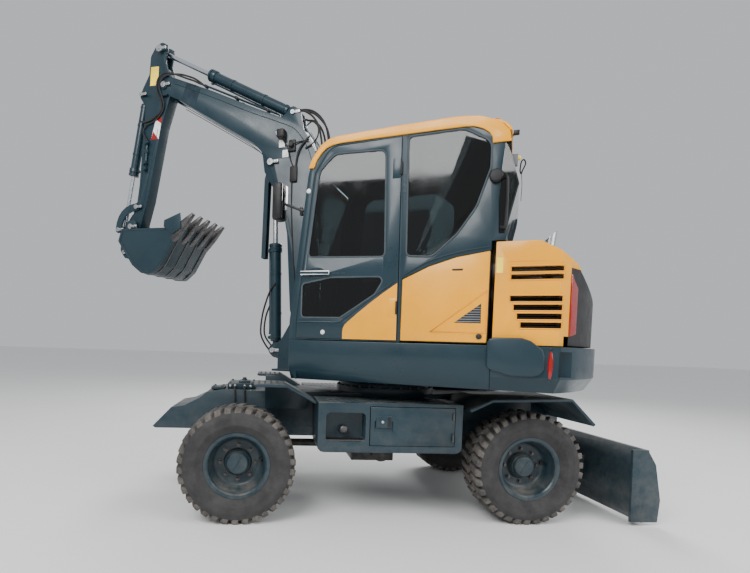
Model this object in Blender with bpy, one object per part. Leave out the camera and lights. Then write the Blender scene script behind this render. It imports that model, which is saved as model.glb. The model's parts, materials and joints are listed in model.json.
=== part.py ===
"""Wheeled excavator of the six-tonne class, as separate pieces on jointed bodies.

Metres, +Z up, +X towards the front axle. The chassis is drawn about the point on the ground
midway between the axles. Everything above the slew ring is drawn in the upper frame, whose
origin is on the slew axis at ground level and whose +X points out of the boom; the upper
empty then turns it by SWING. Each moving body hangs on an empty that stands on its joint.
"""

import math

import bmesh
import bpy
from mathutils import Matrix, Vector

# ---------------------------------------------------------------- driving dimensions
ORIGIN_X, ORIGIN_Y = 0.2695, -0.1408    # bounding-box centre of the parked machine

WHEELBASE = 2.166
TRACK = 1.590
TYRE_RADIUS, TYRE_WIDTH = 0.420, 0.310
RIM_RADIUS = 0.2365
WHEEL_STEPS = 32
FRAME_HALF = 0.330                      # half width of the chassis frame
KINGPIN_Y = 0.600

SLEW_X = -0.175                         # slew axis, along the chassis
SWING = math.radians(-26.7)             # upper structure turned to the machine's right
HALF_WIDTH = 0.950                      # half width of the upper structure
TAIL_RADIUS = 1.650
DECK_Z, SKIRT_TOP = 1.030, 1.330
CAB_RIGHT = 0.000                       # y of the cab's right wall

BOOM_Y = -0.150                         # plane of the boom, arm and bucket
BOOM_HALF, ARM_HALF = 0.100, 0.070
BUCKET_HALF = 0.310
PIN = 0.030

# pin centres in the upper frame (x, z)
BOOM_FOOT = (0.875, 1.440)
ARM_PIVOT = (2.540, 4.036)
ARM_TOP = (2.613, 4.433)
BUCKET_PIVOT = (2.940, 2.549)
GUIDE_PIVOT = (2.900, 2.772)
LINK_PIN = (3.150, 2.535)
BUCKET_EAR = (3.020, 2.270)
BOOM_CYL_FOOT, BOOM_CYL_EYE = (1.172, 1.233), (1.232, 3.085)
ARM_CYL_FOOT = (1.030, 3.560)
BUCKET_CYL_FOOT = (2.858, 3.990)

# pin centres on the chassis (x, z)
BLADE_PIVOT = (-1.560, 0.420)
BLADE_CYL_FOOT, BLADE_CYL_EYE = (-1.600, 0.820), (-1.870, 0.455)

GAP = 0.0005                            # between faces that meet


# ---------------------------------------------------------------- mesh tools
def clear_scene():
    for obj in list(bpy.data.objects):
        bpy.data.objects.remove(obj, do_unlink=True)


def mesh_of(bm):
    bmesh.ops.recalc_face_normals(bm, faces=bm.faces)
    mesh = bpy.data.meshes.new("piece")
    bm.to_mesh(mesh)
    bm.free()
    return mesh


def fillet(points, steps=3):
    """The outline with each (a, b, radius) corner rounded; (a, b) corners stay sharp."""
    rounded = []
    for i, point in enumerate(points):
        if len(point) == 2:
            rounded.append(Vector(point))
            continue
        here = Vector(point[:2])
        to_last = (Vector(points[i - 1][:2]) - here).normalized()
        to_next = (Vector(points[(i + 1) % len(points)][:2]) - here).normalized()
        half = to_last.angle(to_next) / 2
        reach = point[2] / math.tan(half)
        centre = here + (to_last + to_next).normalized() * point[2] / math.sin(half)
        start = here + to_last * reach - centre
        turn = start.angle_signed(here + to_next * reach - centre)
        for k in range(steps + 1):
            spin = Matrix.Rotation(-turn * k / steps, 2)
            rounded.append(centre + spin @ start)
    return rounded


def along(axis, a, b, c):
    """The point whose coordinate on axis is c and whose other two, in XYZ order, are a, b."""
    return {"X": (c, a, b), "Y": (a, c, b), "Z": (a, b, c)}[axis]


def prism(outline, axis, low, high):
    """A flat outline, given in the two other axes, pushed along axis from low to high."""
    bm = bmesh.new()
    flat = [Vector(p[:2]) for p in outline]
    ends = [[bm.verts.new(along(axis, p.x, p.y, c)) for p in flat] for c in (low, high)]
    bm.faces.new(ends[0])
    bm.faces.new(ends[1])
    for i in range(len(flat)):
        j = (i + 1) % len(flat)
        bm.faces.new((ends[0][i], ends[0][j], ends[1][j], ends[1][i]))
    return mesh_of(bm)


def box(low, high):
    outline = [(low[0], low[1]), (high[0], low[1]), (high[0], high[1]), (low[0], high[1])]
    return prism(outline, "Z", low[2], high[2])


def turned(profile, centre, axis, steps=32, closed=False):
    """A profile of (radius, distance) points turned about axis through centre."""
    bm = bmesh.new()
    rings = []
    for radius, distance in profile:
        count = steps if radius > 1e-6 else 1
        ring = []
        for k in range(count):
            angle = 2 * math.pi * k / steps
            a, b = radius * math.cos(angle), radius * math.sin(angle)
            ring.append(bm.verts.new(Vector(along(axis, a, b, distance)) + Vector(centre)))
        rings.append(ring)
    pairs = list(zip(rings, rings[1:]))
    if closed:
        pairs.append((rings[-1], rings[0]))
    for one, two in pairs:
        for k in range(steps):
            corners = [one[k % len(one)], one[(k + 1) % len(one)]]
            corners += [two[(k + 1) % len(two)], two[k % len(two)]]
            bm.faces.new(list(dict.fromkeys(corners)))
    return mesh_of(bm)


def disc(centre, axis, radius, low, high, steps=24):
    profile = [(0, low), (radius, low), (radius, high), (0, high)]
    return turned(profile, centre, axis, steps)


def rod(start, end, radius, steps=16):
    """A round bar between two points."""
    start, end = Vector(start), Vector(end)
    turn = (end - start).to_track_quat("Z", "Y").to_matrix().to_4x4()
    place = Matrix.Translation((start + end) / 2) @ turn
    bm = bmesh.new()
    bmesh.ops.create_cone(bm, cap_ends=True, segments=steps, radius1=radius, radius2=radius,
                          depth=(end - start).length, matrix=place)
    return mesh_of(bm)


def evaluated(obj):
    graph = bpy.context.evaluated_depsgraph_get()
    mesh = bpy.data.meshes.new_from_object(obj.evaluated_get(graph))
    bpy.data.objects.remove(obj)
    return mesh


def combine(base, tools, operation):
    host = bpy.data.objects.new("host", base)
    bpy.context.collection.objects.link(host)
    helpers = []
    for tool in tools:
        helper = bpy.data.objects.new("helper", tool)
        bpy.context.collection.objects.link(helper)
        helpers.append(helper)
        step = host.modifiers.new("step", "BOOLEAN")
        step.operation = operation
        step.solver = "EXACT"
        step.object = helper
    result = evaluated(host)
    for helper in helpers:
        bpy.data.objects.remove(helper)
    return result


def join(base, *tools):
    return combine(base, tools, "UNION")


def cut(base, *tools):
    return combine(base, tools, "DIFFERENCE")


def common(base, *tools):
    return combine(base, tools, "INTERSECT")


def soften(mesh, width, segments=2, angle=35):
    """Rounds every edge sharper than angle degrees."""
    host = bpy.data.objects.new("host", mesh)
    bpy.context.collection.objects.link(host)
    edge = host.modifiers.new("edge", "BEVEL")
    edge.width = width
    edge.segments = segments
    edge.limit_method = "ANGLE"
    edge.angle_limit = math.radians(angle)
    return evaluated(host)


# ---------------------------------------------------------------- bodies and nodes
EMPTIES = {}
PIVOTS = {}
MATERIALS = {}

COLOURS = {                             # linear colour, roughness, metallic
    "slate_paint": ((0.024, 0.058, 0.080), 0.35, 0.0),
    "amber_paint": ((0.900, 0.440, 0.045), 0.35, 0.0),
    "tyre": ((0.030, 0.028, 0.026), 0.90, 0.0),
    "glass": ((0.010, 0.014, 0.016), 0.05, 0.0),
    "black_plastic": ((0.012, 0.012, 0.013), 0.45, 0.0),
    "black_metal": ((0.020, 0.021, 0.022), 0.50, 0.5),
    "chrome": ((0.800, 0.800, 0.800), 0.12, 1.0),
    "steel": ((0.550, 0.560, 0.570), 0.30, 1.0),
    "upholstery": ((0.035, 0.035, 0.038), 0.85, 0.0),
}


def material(name):
    if name not in MATERIALS:
        colour, roughness, metallic = COLOURS[name]
        made = bpy.data.materials.new(name)
        made.use_nodes = True
        shader = made.node_tree.nodes["Principled BSDF"]
        shader.inputs["Base Color"].default_value = (*colour, 1.0)
        shader.inputs["Roughness"].default_value = roughness
        shader.inputs["Metallic"].default_value = metallic
        MATERIALS[name] = made
    return MATERIALS[name]


def body(name, parent, pivot, turn=0.0):
    """An empty on the joint of a moving body. Pivots are in the frame of their own half."""
    empty = bpy.data.objects.new("body_" + name, None)
    bpy.context.collection.objects.link(empty)
    if parent:
        empty.parent = EMPTIES[parent]
        empty.location = Vector(pivot) - PIVOTS[parent]
    else:
        empty.location = (-ORIGIN_X, -ORIGIN_Y, 0)
    empty.rotation_euler.z = turn
    EMPTIES[name] = empty
    PIVOTS[name] = Vector((0, 0, 0)) if turn or not parent else Vector(pivot)


def node(name, on, paint, mesh):
    """A finished piece, with its origin on its body's empty."""
    mesh.transform(Matrix.Translation(-PIVOTS[on]))
    mesh.name = name
    mesh.materials.clear()
    mesh.materials.append(material(paint))
    mesh.shade_smooth()
    mesh.set_sharp_from_angle(angle=math.radians(35))
    obj = bpy.data.objects.new(name, mesh)
    bpy.context.collection.objects.link(obj)
    obj.parent = EMPTIES[on]


def on_boom_plane(point, offset=0.0):
    return (point[0], BOOM_Y + offset, point[1])


def make_bodies():
    front, rear = WHEELBASE / 2, -WHEELBASE / 2
    body("chassis", None, (0, 0, 0))
    for side, sign in (("left", 1), ("right", -1)):
        body("knuckle_" + side, "chassis", (front, sign * KINGPIN_Y, TYRE_RADIUS))
        hub = (front, sign * TRACK / 2, TYRE_RADIUS)
        body("front_%s_wheel" % side, "knuckle_" + side, hub)
        body("rear_%s_wheel" % side, "chassis", (rear, sign * TRACK / 2, TYRE_RADIUS))
        body("toolbox_door_" + side, "chassis", (BOX_DOOR[0], sign * BOX_OUTER, BOX_DOOR_Z[0]))
    body("blade", "chassis", (BLADE_PIVOT[0], 0, BLADE_PIVOT[1]))
    body("blade_barrel", "chassis", (BLADE_CYL_FOOT[0], 0, BLADE_CYL_FOOT[1]))
    body("blade_rod", "blade_barrel", (BLADE_CYL_FOOT[0], 0, BLADE_CYL_FOOT[1]))

    body("upper", "chassis", (SLEW_X, 0, 0), SWING)
    body("cab_door", "upper", DOOR_HINGE)
    body("engine_hood", "upper", HOOD_HINGE)
    body("side_panel", "upper", PANEL_HINGE)
    body("boom", "upper", on_boom_plane(BOOM_FOOT))
    body("boom_barrel", "upper", on_boom_plane(BOOM_CYL_FOOT))
    body("boom_rod", "boom_barrel", on_boom_plane(BOOM_CYL_FOOT))
    body("arm", "boom", on_boom_plane(ARM_PIVOT))
    body("arm_barrel", "boom", on_boom_plane(ARM_CYL_FOOT))
    body("arm_rod", "arm_barrel", on_boom_plane(ARM_CYL_FOOT))
    body("bucket_barrel", "arm", on_boom_plane(BUCKET_CYL_FOOT))
    body("bucket_rod", "bucket_barrel", on_boom_plane(BUCKET_CYL_FOOT))
    body("guide_link", "arm", on_boom_plane(GUIDE_PIVOT))
    body("bucket", "arm", on_boom_plane(BUCKET_PIVOT))
    body("bucket_link", "bucket", on_boom_plane(BUCKET_EAR))


# ---------------------------------------------------------------- chassis
BOX_OUTER, BOX_INNER = 0.930, 0.520     # faces of the tool boxes, across the chassis
BOX_X, BOX_Z = (-0.550, 0.515), (0.530, 0.890)
BOX_STEP, BOX_STEP_Z = (0.170, 0.457), (0.610, 0.816)
BOX_DOOR, BOX_DOOR_Z = (-0.494, 0.140), (0.580, 0.866)
BOX_WALL = 0.012
RIB_X = (-0.460, 0.400)                 # box carriers along the chassis


def chassis_frame():
    side = [(1.800, 0.600), (1.655, 0.755), (1.550, 0.775), (1.430, 0.835),
            (1.375, 0.885), (1.250, 0.905), (-1.500, 0.905), (-1.640, 0.860), (-1.640, 0.600),
            (-0.860, 0.600), (-0.800, 0.540), (0.700, 0.540), (0.780, 0.585), (1.780, 0.585)]
    mesh = prism(side, "Y", -FRAME_HALF, FRAME_HALF)
    ring = [(0, 0.880), (0.430, 0.880), (0.430, 0.955), (0.400, 0.955), (0.400, 0.985), (0, 0.985)]
    parts = [turned(ring, (SLEW_X, 0, 0), "Z", 32)]
    for x in RIB_X:
        parts.append(box((x - 0.035, -BOX_INNER + GAP, 0.640), (x + 0.035, BOX_INNER - GAP, 0.780)))
    for sign in (1, -1):
        lug = [(-1.430, 0.600), (-1.500, 0.420), (-1.560, 0.360, 0.05), (-1.640, 0.420, 0.05),
               (-1.630, 0.640)]
        parts.append(prism(fillet(lug), "Y", sign * 0.255 - 0.020, sign * 0.255 + 0.020))
        pin_y = sorted((sign * 0.240, sign * 0.345))
        pin_centre = (BLADE_PIVOT[0], 0, BLADE_PIVOT[1])
        parts.append(disc(pin_centre, "Y", PIN, pin_y[0], pin_y[1], 12))
    foot = (BLADE_CYL_FOOT[0], 0, BLADE_CYL_FOOT[1])
    slot = [(-1.760, 0.950), (-1.540, 0.950), (-1.540, 0.770), (-1.600, 0.690), (-1.690, 0.550),
            (-1.760, 0.550)]
    slot = cut(prism(slot, "Y", -0.052, 0.052), disc(foot, "Y", 0.022, -0.070, 0.070, 12))
    return cut(join(mesh, *parts), slot)


def front_axle():
    x, z = WHEELBASE / 2, TYRE_RADIUS
    mesh = rod((x, -0.500, z), (x, 0.500, z), 0.070, 14)
    bulb = [(0, -0.175), (0.075, -0.165), (0.150, -0.080), (0.160, 0), (0.150, 0.080),
            (0.075, 0.165), (0, 0.175)]
    parts = [turned(bulb, (x, 0.060, z), "Y", 18)]
    parts.append(box((x - 0.110, -0.120, z + 0.020), (x + 0.110, 0.120, 0.585 - GAP)))
    parts.append(rod((x + 0.130, -0.360, z - 0.020), (x + 0.130, 0.360, z - 0.020), 0.038))
    parts.append(box((x - 0.010, -0.080, z - 0.060), (x + 0.160, 0.080, z + 0.030)))
    for sign in (1, -1):
        parts.append(box((x - 0.080, sign * 0.535 - 0.065, z - 0.140),
                         (x + 0.080, sign * 0.535 + 0.065, z + 0.140)))
    mesh = join(mesh, *parts)
    holes = []
    for sign in (1, -1):
        centre = (x, sign * KINGPIN_Y, z)
        holes.append(disc(centre, "Z", 0.098, -0.095, 0.095, 18))
    return cut(mesh, *holes)


def rear_axle():
    x, z = -WHEELBASE / 2, TYRE_RADIUS
    mesh = rod((x, -0.640, z), (x, 0.640, z), 0.085, 14)
    bulb = [(0, -0.190), (0.080, -0.180), (0.165, -0.090), (0.175, 0), (0.165, 0.090),
            (0.080, 0.180), (0, 0.190)]
    parts = [turned(bulb, (x, 0, z), "Y", 18)]
    for sign in (1, -1):
        parts.append(box((x - 0.080, sign * 0.280 - 0.060, z + 0.010),
                         (x + 0.080, sign * 0.280 + 0.060, 0.600 - GAP)))
        parts.append(disc((x, 0, z), "Y", 0.130, sign * 0.600 - 0.035, sign * 0.600 + 0.035, 18))
    return join(mesh, *parts)


def driveline():
    """Gearbox and travel motor under the frame, with the shafts to both axles."""
    mesh = box((-0.240, -0.150, 0.300), (0.130, 0.160, 0.539))
    front, rear = WHEELBASE / 2 - 0.170, -WHEELBASE / 2 + 0.185
    parts = [rod((0.100, 0, 0.420), (front, 0, 0.420), 0.034)]
    parts.append(rod((-0.200, 0, 0.420), (rear, 0, 0.420), 0.034))
    for x in (0.160, front - 0.040, -0.270, rear + 0.040):
        parts.append(rod((x - 0.025, 0, 0.420), (x + 0.025, 0, 0.420), 0.062))
    parts.append(rod((-0.100, 0.100, 0.400), (-0.100, 0.300, 0.400), 0.080))
    return join(mesh, *parts)


def knuckle(sign):
    """Steering knuckle inside the axle's fork, with its spindle out to the wheel."""
    x, z = WHEELBASE / 2, TYRE_RADIUS
    mesh = disc((x, sign * KINGPIN_Y, z), "Z", 0.060, -0.090, 0.090, 18)
    ends = sorted((sign * KINGPIN_Y, sign * 0.735))
    spindle = disc((x, 0, z), "Y", 0.050, ends[0], ends[1], 18)
    flange = sorted((sign * 0.690, sign * 0.734))
    plate = disc((x, 0, z), "Y", 0.120, flange[0], flange[1], 18)
    return join(mesh, spindle, plate)


def tyre(centre):
    """The tyre's rounded ring; its inner faces sit on the rim."""
    half, bead = TYRE_WIDTH / 2, RIM_RADIUS - 0.014
    profile = [(bead, -0.105), (0.262, -0.130), (0.335, -half), (0.393, -half + 0.010),
               (TYRE_RADIUS, -0.085), (TYRE_RADIUS, 0.085), (0.393, half - 0.010), (0.335, half),
               (0.262, 0.130), (bead, 0.105)]
    return turned(profile, centre, "Y", WHEEL_STEPS, closed=True)


def rim(centre, sign):
    """Deep-dished disc wheel with its hub, open towards the axle."""
    bead = RIM_RADIUS - 0.014 - GAP
    profile = [(0, 0.060), (0.060, 0.052), (0.062, -0.018), (0.150, -0.022), (0.195, 0.060),
               (0.202, 0.127), (RIM_RADIUS, 0.127), (bead, 0.108), (bead, -0.108),
               (RIM_RADIUS, -0.127), (0.203, -0.127), (0.198, -0.054), (0, -0.054)]
    mirrored = [(radius, sign * distance) for radius, distance in profile]
    return turned(mirrored, centre, "Y", WHEEL_STEPS)


def rounded_box_side(low_x, high_x, low_z, high_z, radius):
    return [(low_x, high_z), (low_x, low_z, radius), (high_x, low_z, radius), (high_x, high_z)]


def toolbox(sign):
    """Box between the axles with a step pocket in its front end and a hollow behind a door."""
    side = fillet(rounded_box_side(*BOX_X, *BOX_Z, 0.045))
    ends = sorted((sign * BOX_INNER, sign * BOX_OUTER))
    mesh = prism(side, "Y", *ends)
    depth = sorted((sign * (BOX_OUTER - 0.130), sign * (BOX_OUTER + 0.050)))
    low, high = BOX_STEP, BOX_STEP_Z
    pocket = prism(fillet([(low[0], high[0], 0.03), (low[1], high[0], 0.03),
                           (low[1], high[1], 0.03), (low[0], high[1], 0.03)]), "Y", *depth)
    inner = sorted((sign * (BOX_INNER + BOX_WALL), sign * (BOX_OUTER + 0.050)))
    x, z = BOX_DOOR, BOX_DOOR_Z
    hollow = box((x[0], inner[0], z[0]), (x[1], inner[1], z[1]))
    return cut(mesh, pocket, hollow)


def toolbox_door(sign):
    x, z = BOX_DOOR, BOX_DOOR_Z
    faces = sorted((sign * (BOX_OUTER - 0.012), sign * (BOX_OUTER + 0.004)))
    mesh = box((x[0] + 0.004, faces[0], z[0] + 0.004), (x[1] - 0.004, faces[1], z[1] - 0.004))
    depth = sorted((sign * (BOX_OUTER - 0.006), sign * (BOX_OUTER + 0.050)))
    latch = box((-0.030, depth[0], 0.680), (0.105, depth[1], 0.760))
    return cut(mesh, latch)


def band(points, thickness):
    """A bent sheet's outline: the points, and back along them one thickness lower."""
    lower = []
    for i, point in enumerate(points):
        before = Vector(points[max(i - 1, 0)])
        after = Vector(points[min(i + 1, len(points) - 1)])
        run = (after - before).normalized()
        lower.append(Vector(point) + Vector((run.y, -run.x)) * thickness)
    return [Vector(p) for p in points] + lower[::-1]


def rear_fender(sign):
    top = [(-1.560, 0.770), (-1.370, 0.955), (-0.760, 0.940), (-0.590, 0.860)]
    ends = sorted((sign * (FRAME_HALF + GAP), sign * 0.960))
    sheet = prism(band(top, 0.022), "Y", *ends)
    inner = sorted((sign * (FRAME_HALF + GAP), sign * (FRAME_HALF + 0.030)))
    web = prism([(-1.380, 0.700), (-1.380, 0.945), (-0.740, 0.930), (-0.740, 0.700)], "Y", *inner)
    return join(sheet, web)


def front_step(sign):
    """Step plate over the back of the front tyre, on a web from the frame."""
    top = [(0.980, 0.985), (0.980, 1.000), (0.745, 1.000), (0.520, 0.880), (0.520, 0.862),
           (0.738, 0.980), (0.960, 0.980)]
    ends = sorted((sign * 0.430, sign * 0.860))
    sheet = prism(top, "Y", *ends)
    inner = sorted((sign * (FRAME_HALF + GAP), sign * 0.460))
    web = prism([(0.900, 0.780), (0.900, 0.990), (0.745, 0.990), (0.560, 0.892), (0.560, 0.780)],
                "Y", *inner)
    return join(sheet, web)


def blade():
    """Dozer blade on two push arms, curved, with end cheeks and a cylinder bracket."""
    back = [(-1.905, 0.583), (-1.935, 0.583), (-1.985, 0.470), (-2.010, 0.330), (-2.005, 0.180),
            (-1.975, 0.080), (-1.945, 0.030), (-1.925, 0.030), (-1.950, 0.090), (-1.975, 0.190),
            (-1.978, 0.330), (-1.955, 0.460)]
    front = [(-x - 3.905, z) for x, z in back]
    sheet = prism(front, "Y", -0.960, 0.960)
    parts = []
    for sign in (1, -1):
        arm_y = sorted((sign * 0.285, sign * 0.335))
        arm = fillet([(-1.500, 0.420, 0.05), (-1.560, 0.490, 0.05), (-1.890, 0.400),
                      (-1.965, 0.400), (-1.965, 0.200), (-1.870, 0.200), (-1.590, 0.350, 0.05)])
        parts.append(prism(arm, "Y", *arm_y))
        cheek_y = sorted((sign * 0.935, sign * 0.960))
        cheek = [(-1.870, 0.583), (-1.990, 0.583), (-2.060, 0.470), (-2.110, 0.200),
                 (-2.095, 0.032), (-1.880, 0.032)]
        parts.append(prism(cheek, "Y", *cheek_y))
        ear = fillet([(-1.965, 0.380), (-1.965, 0.540), (-1.880, 0.510, 0.04),
                      (-1.820, 0.455, 0.04), (-1.870, 0.400, 0.04)])
        parts.append(prism(ear, "Y", sign * 0.055 - 0.012, sign * 0.055 + 0.012))
    parts.append(box((-1.965, -0.335, 0.270), (-1.915, 0.335, 0.330)))
    mesh = join(sheet, *parts)
    bores = []
    for sign in (1, -1):
        reach = sorted((sign * 0.270, sign * 0.350))
        bores.append(disc((BLADE_PIVOT[0], 0, BLADE_PIVOT[1]), "Y", PIN + 0.002, *reach, 14))
    return cut(mesh, *bores)


# ---------------------------------------------------------------- cylinders
def cylinder(foot, eye, bore, length, stroke_rod, foot_width, eye_width, foot_eye, eye_radius,
             held=0.090):
    """Barrel with a bored foot, and rod with a plain eye, on the line from foot to eye.

    foot and eye are 3D points in one plane across Y. length is the barrel's, from the foot, and
    held is how far the rod reaches into it.
    """
    foot, eye = Vector(foot), Vector(eye)
    turn = (eye - foot).to_track_quat("Z", "Y").to_matrix().to_4x4()
    place = Matrix.Translation(foot) @ turn
    neck, step, room = foot_width * 0.36, foot_eye + bore * 0.6, stroke_rod + 0.002
    profile = [(0, 0), (neck, 0), (neck, step), (bore, step + 0.006), (bore, length - 0.070),
               (bore + 0.010, length - 0.068), (bore + 0.010, length), (room, length),
               (room, step + 0.018), (0, step + 0.018)]
    barrel = turned(profile, (0, 0, 0), "Z", 16)
    barrel.transform(place)
    knob = disc((foot.x, 0, foot.z), "Y", foot_eye, foot.y - foot_width / 2,
                foot.y + foot_width / 2, 18)
    hole = disc((foot.x, 0, foot.z), "Y", foot_eye * 0.57, foot.y - foot_width,
                foot.y + foot_width, 14)
    reach = (eye - foot).length - eye_radius * 0.4
    piston_rod = turned([(0, length - held), (stroke_rod, length - held),
                         (stroke_rod, reach), (0, reach)], (0, 0, 0), "Z", 14)
    piston_rod.transform(place)
    head = disc((eye.x, 0, eye.z), "Y", eye_radius, eye.y - eye_width / 2,
                eye.y + eye_width / 2, 18)
    return cut(join(barrel, knob), hole), join(piston_rod, head)


def rod_guard():
    """Channel hung from the boom rod's eye, in front of the rod."""
    line = [(1.300, 3.060), (1.330, 2.950), (1.345, 2.160)]
    front = prism(line + [(x + 0.006, z) for x, z in line[::-1]], "Y",
                  BOOM_Y - 0.036, BOOM_Y + 0.036)
    parts = []
    for sign in (1, -1):
        ends = sorted((BOOM_Y + sign * 0.030, BOOM_Y + sign * 0.036))
        flange = [(1.225, 3.075), (1.302, 3.060), (1.333, 2.950), (1.348, 2.160), (1.306, 2.160),
                  (1.290, 2.900), (1.225, 3.040)]
        parts.append(prism(flange, "Y", *ends))
    return join(front, *parts)


def cylinders():
    made = cylinder(on_boom_plane(BOOM_CYL_FOOT), on_boom_plane(BOOM_CYL_EYE), 0.056, 1.070,
                    0.026, 0.080, 0.070, 0.055, 0.050)
    node("boom_cylinder_barrel", "boom_barrel", "slate_paint", made[0])
    node("boom_cylinder_rod", "boom_rod", "chrome", join(made[1], rod_guard()))
    made = cylinder(on_boom_plane(ARM_CYL_FOOT), on_boom_plane(ARM_TOP), 0.052, 1.130,
                    0.025, 0.070, 0.075, 0.050, 0.050)
    node("arm_cylinder_barrel", "arm_barrel", "slate_paint", made[0])
    node("arm_cylinder_rod", "arm_rod", "chrome", made[1])
    made = cylinder(on_boom_plane(BUCKET_CYL_FOOT), on_boom_plane(LINK_PIN), 0.046, 0.860,
                    0.023, 0.075, 0.070, 0.045, 0.042)
    node("bucket_cylinder_barrel", "bucket_barrel", "slate_paint", made[0])
    node("bucket_cylinder_rod", "bucket_rod", "chrome", made[1])
    foot = (BLADE_CYL_FOOT[0], 0, BLADE_CYL_FOOT[1])
    eye = (BLADE_CYL_EYE[0], 0, BLADE_CYL_EYE[1])
    made = cylinder(foot, eye, 0.037, 0.268, 0.018, 0.084, 0.070, 0.046, 0.032, 0.055)
    node("blade_cylinder_barrel", "blade_barrel", "slate_paint", made[0])
    node("blade_cylinder_rod", "blade_rod", "chrome", made[1])


# ---------------------------------------------------------------- work equipment
def boom():
    """Bent box boom: foot boss, belly ears, arm-cylinder ears and a fork at the tip."""
    low, high = BOOM_Y - BOOM_HALF, BOOM_Y + BOOM_HALF
    side = [(0.812, 1.462), (0.735, 1.700), (0.715, 2.500), (0.735, 3.080, 0.30),
            (0.900, 3.380, 0.20), (1.141, 3.510, 0.10), (1.420, 3.638), (1.928, 3.882),
            (2.500, 4.132), (2.545, 4.036), (2.480, 3.918),
            (2.337, 3.851), (2.107, 3.704), (1.619, 3.408), (1.444, 3.303, 0.15),
            (1.335, 3.193, 0.10), (1.306, 3.000, 0.05), (1.170, 2.780), (1.090, 2.620),
            (1.039, 2.375), (0.985, 1.640), (0.938, 1.462)]
    mesh = prism(fillet(side), "Y", low, high)
    parts = [disc((BOOM_FOOT[0], 0, BOOM_FOOT[1]), "Y", 0.088, low, high, 14),
             disc((ARM_PIVOT[0], 0, ARM_PIVOT[1]), "Y", 0.108, low, high, 14)]
    stubs = []
    for sign in (1, -1):
        stub = sorted((BOOM_Y + sign * 0.050, BOOM_Y + sign * 0.120))
        stubs.append(disc((BOOM_CYL_EYE[0], 0, BOOM_CYL_EYE[1]), "Y", 0.034, *stub, 12))
        bracket = fillet([(0.900, 3.330), (0.950, 3.560, 0.05), (1.040, 3.640, 0.05),
                          (1.100, 3.560, 0.05), (1.200, 3.500)])
        bracket_y = sorted((BOOM_Y + sign * 0.045, BOOM_Y + sign * 0.067))
        parts.append(prism(bracket, "Y", *bracket_y))
    parts.append(disc((ARM_CYL_FOOT[0], 0, ARM_CYL_FOOT[1]), "Y", 0.024,
                      BOOM_Y - 0.060, BOOM_Y + 0.060, 12))
    mesh = join(mesh, *parts)
    pin_centre = (ARM_PIVOT[0], 0, ARM_PIVOT[1])
    fork_slot = disc(pin_centre, "Y", 0.240, BOOM_Y - 0.075, BOOM_Y + 0.075, 24)
    nose = [(2.430, 4.038), (2.368, 4.200), (2.030, 4.031), (2.091, 3.890)]
    nose_slot = prism(nose, "Y", BOOM_Y - 0.075, BOOM_Y + 0.075)
    belly = [(1.055, 2.540), (1.085, 2.830), (1.108, 3.060), (1.118, 3.140, 0.04),
             (1.160, 3.172, 0.04), (1.330, 3.172), (1.440, 3.000), (1.440, 2.540)]
    belly_slot = prism(fillet(belly), "Y", BOOM_Y - 0.0715, BOOM_Y + 0.0715)
    foot_slot = disc((ARM_CYL_FOOT[0], 0, ARM_CYL_FOOT[1]), "Y", 0.075,
                     BOOM_Y - 0.0445, BOOM_Y + 0.0445, 18)
    keep = disc((ARM_CYL_FOOT[0], 0, ARM_CYL_FOOT[1]), "Y", 0.024, BOOM_Y - 0.060,
                BOOM_Y + 0.060, 12)
    bore = disc((BOOM_FOOT[0], 0, BOOM_FOOT[1]), "Y", 0.037, low - 0.01, high + 0.01, 14)
    mesh = cut(mesh, join(fork_slot, nose_slot), belly_slot, cut(foot_slot, keep), bore)
    pin = disc(pin_centre, "Y", PIN, low - 0.010, high + 0.010, 12)
    caps = [disc(pin_centre, "Y", 0.045, high - 0.002, high + 0.018, 12),
            disc(pin_centre, "Y", 0.045, low - 0.018, low + 0.002, 12)]
    return join(mesh, pin, *caps, *stubs)


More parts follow.
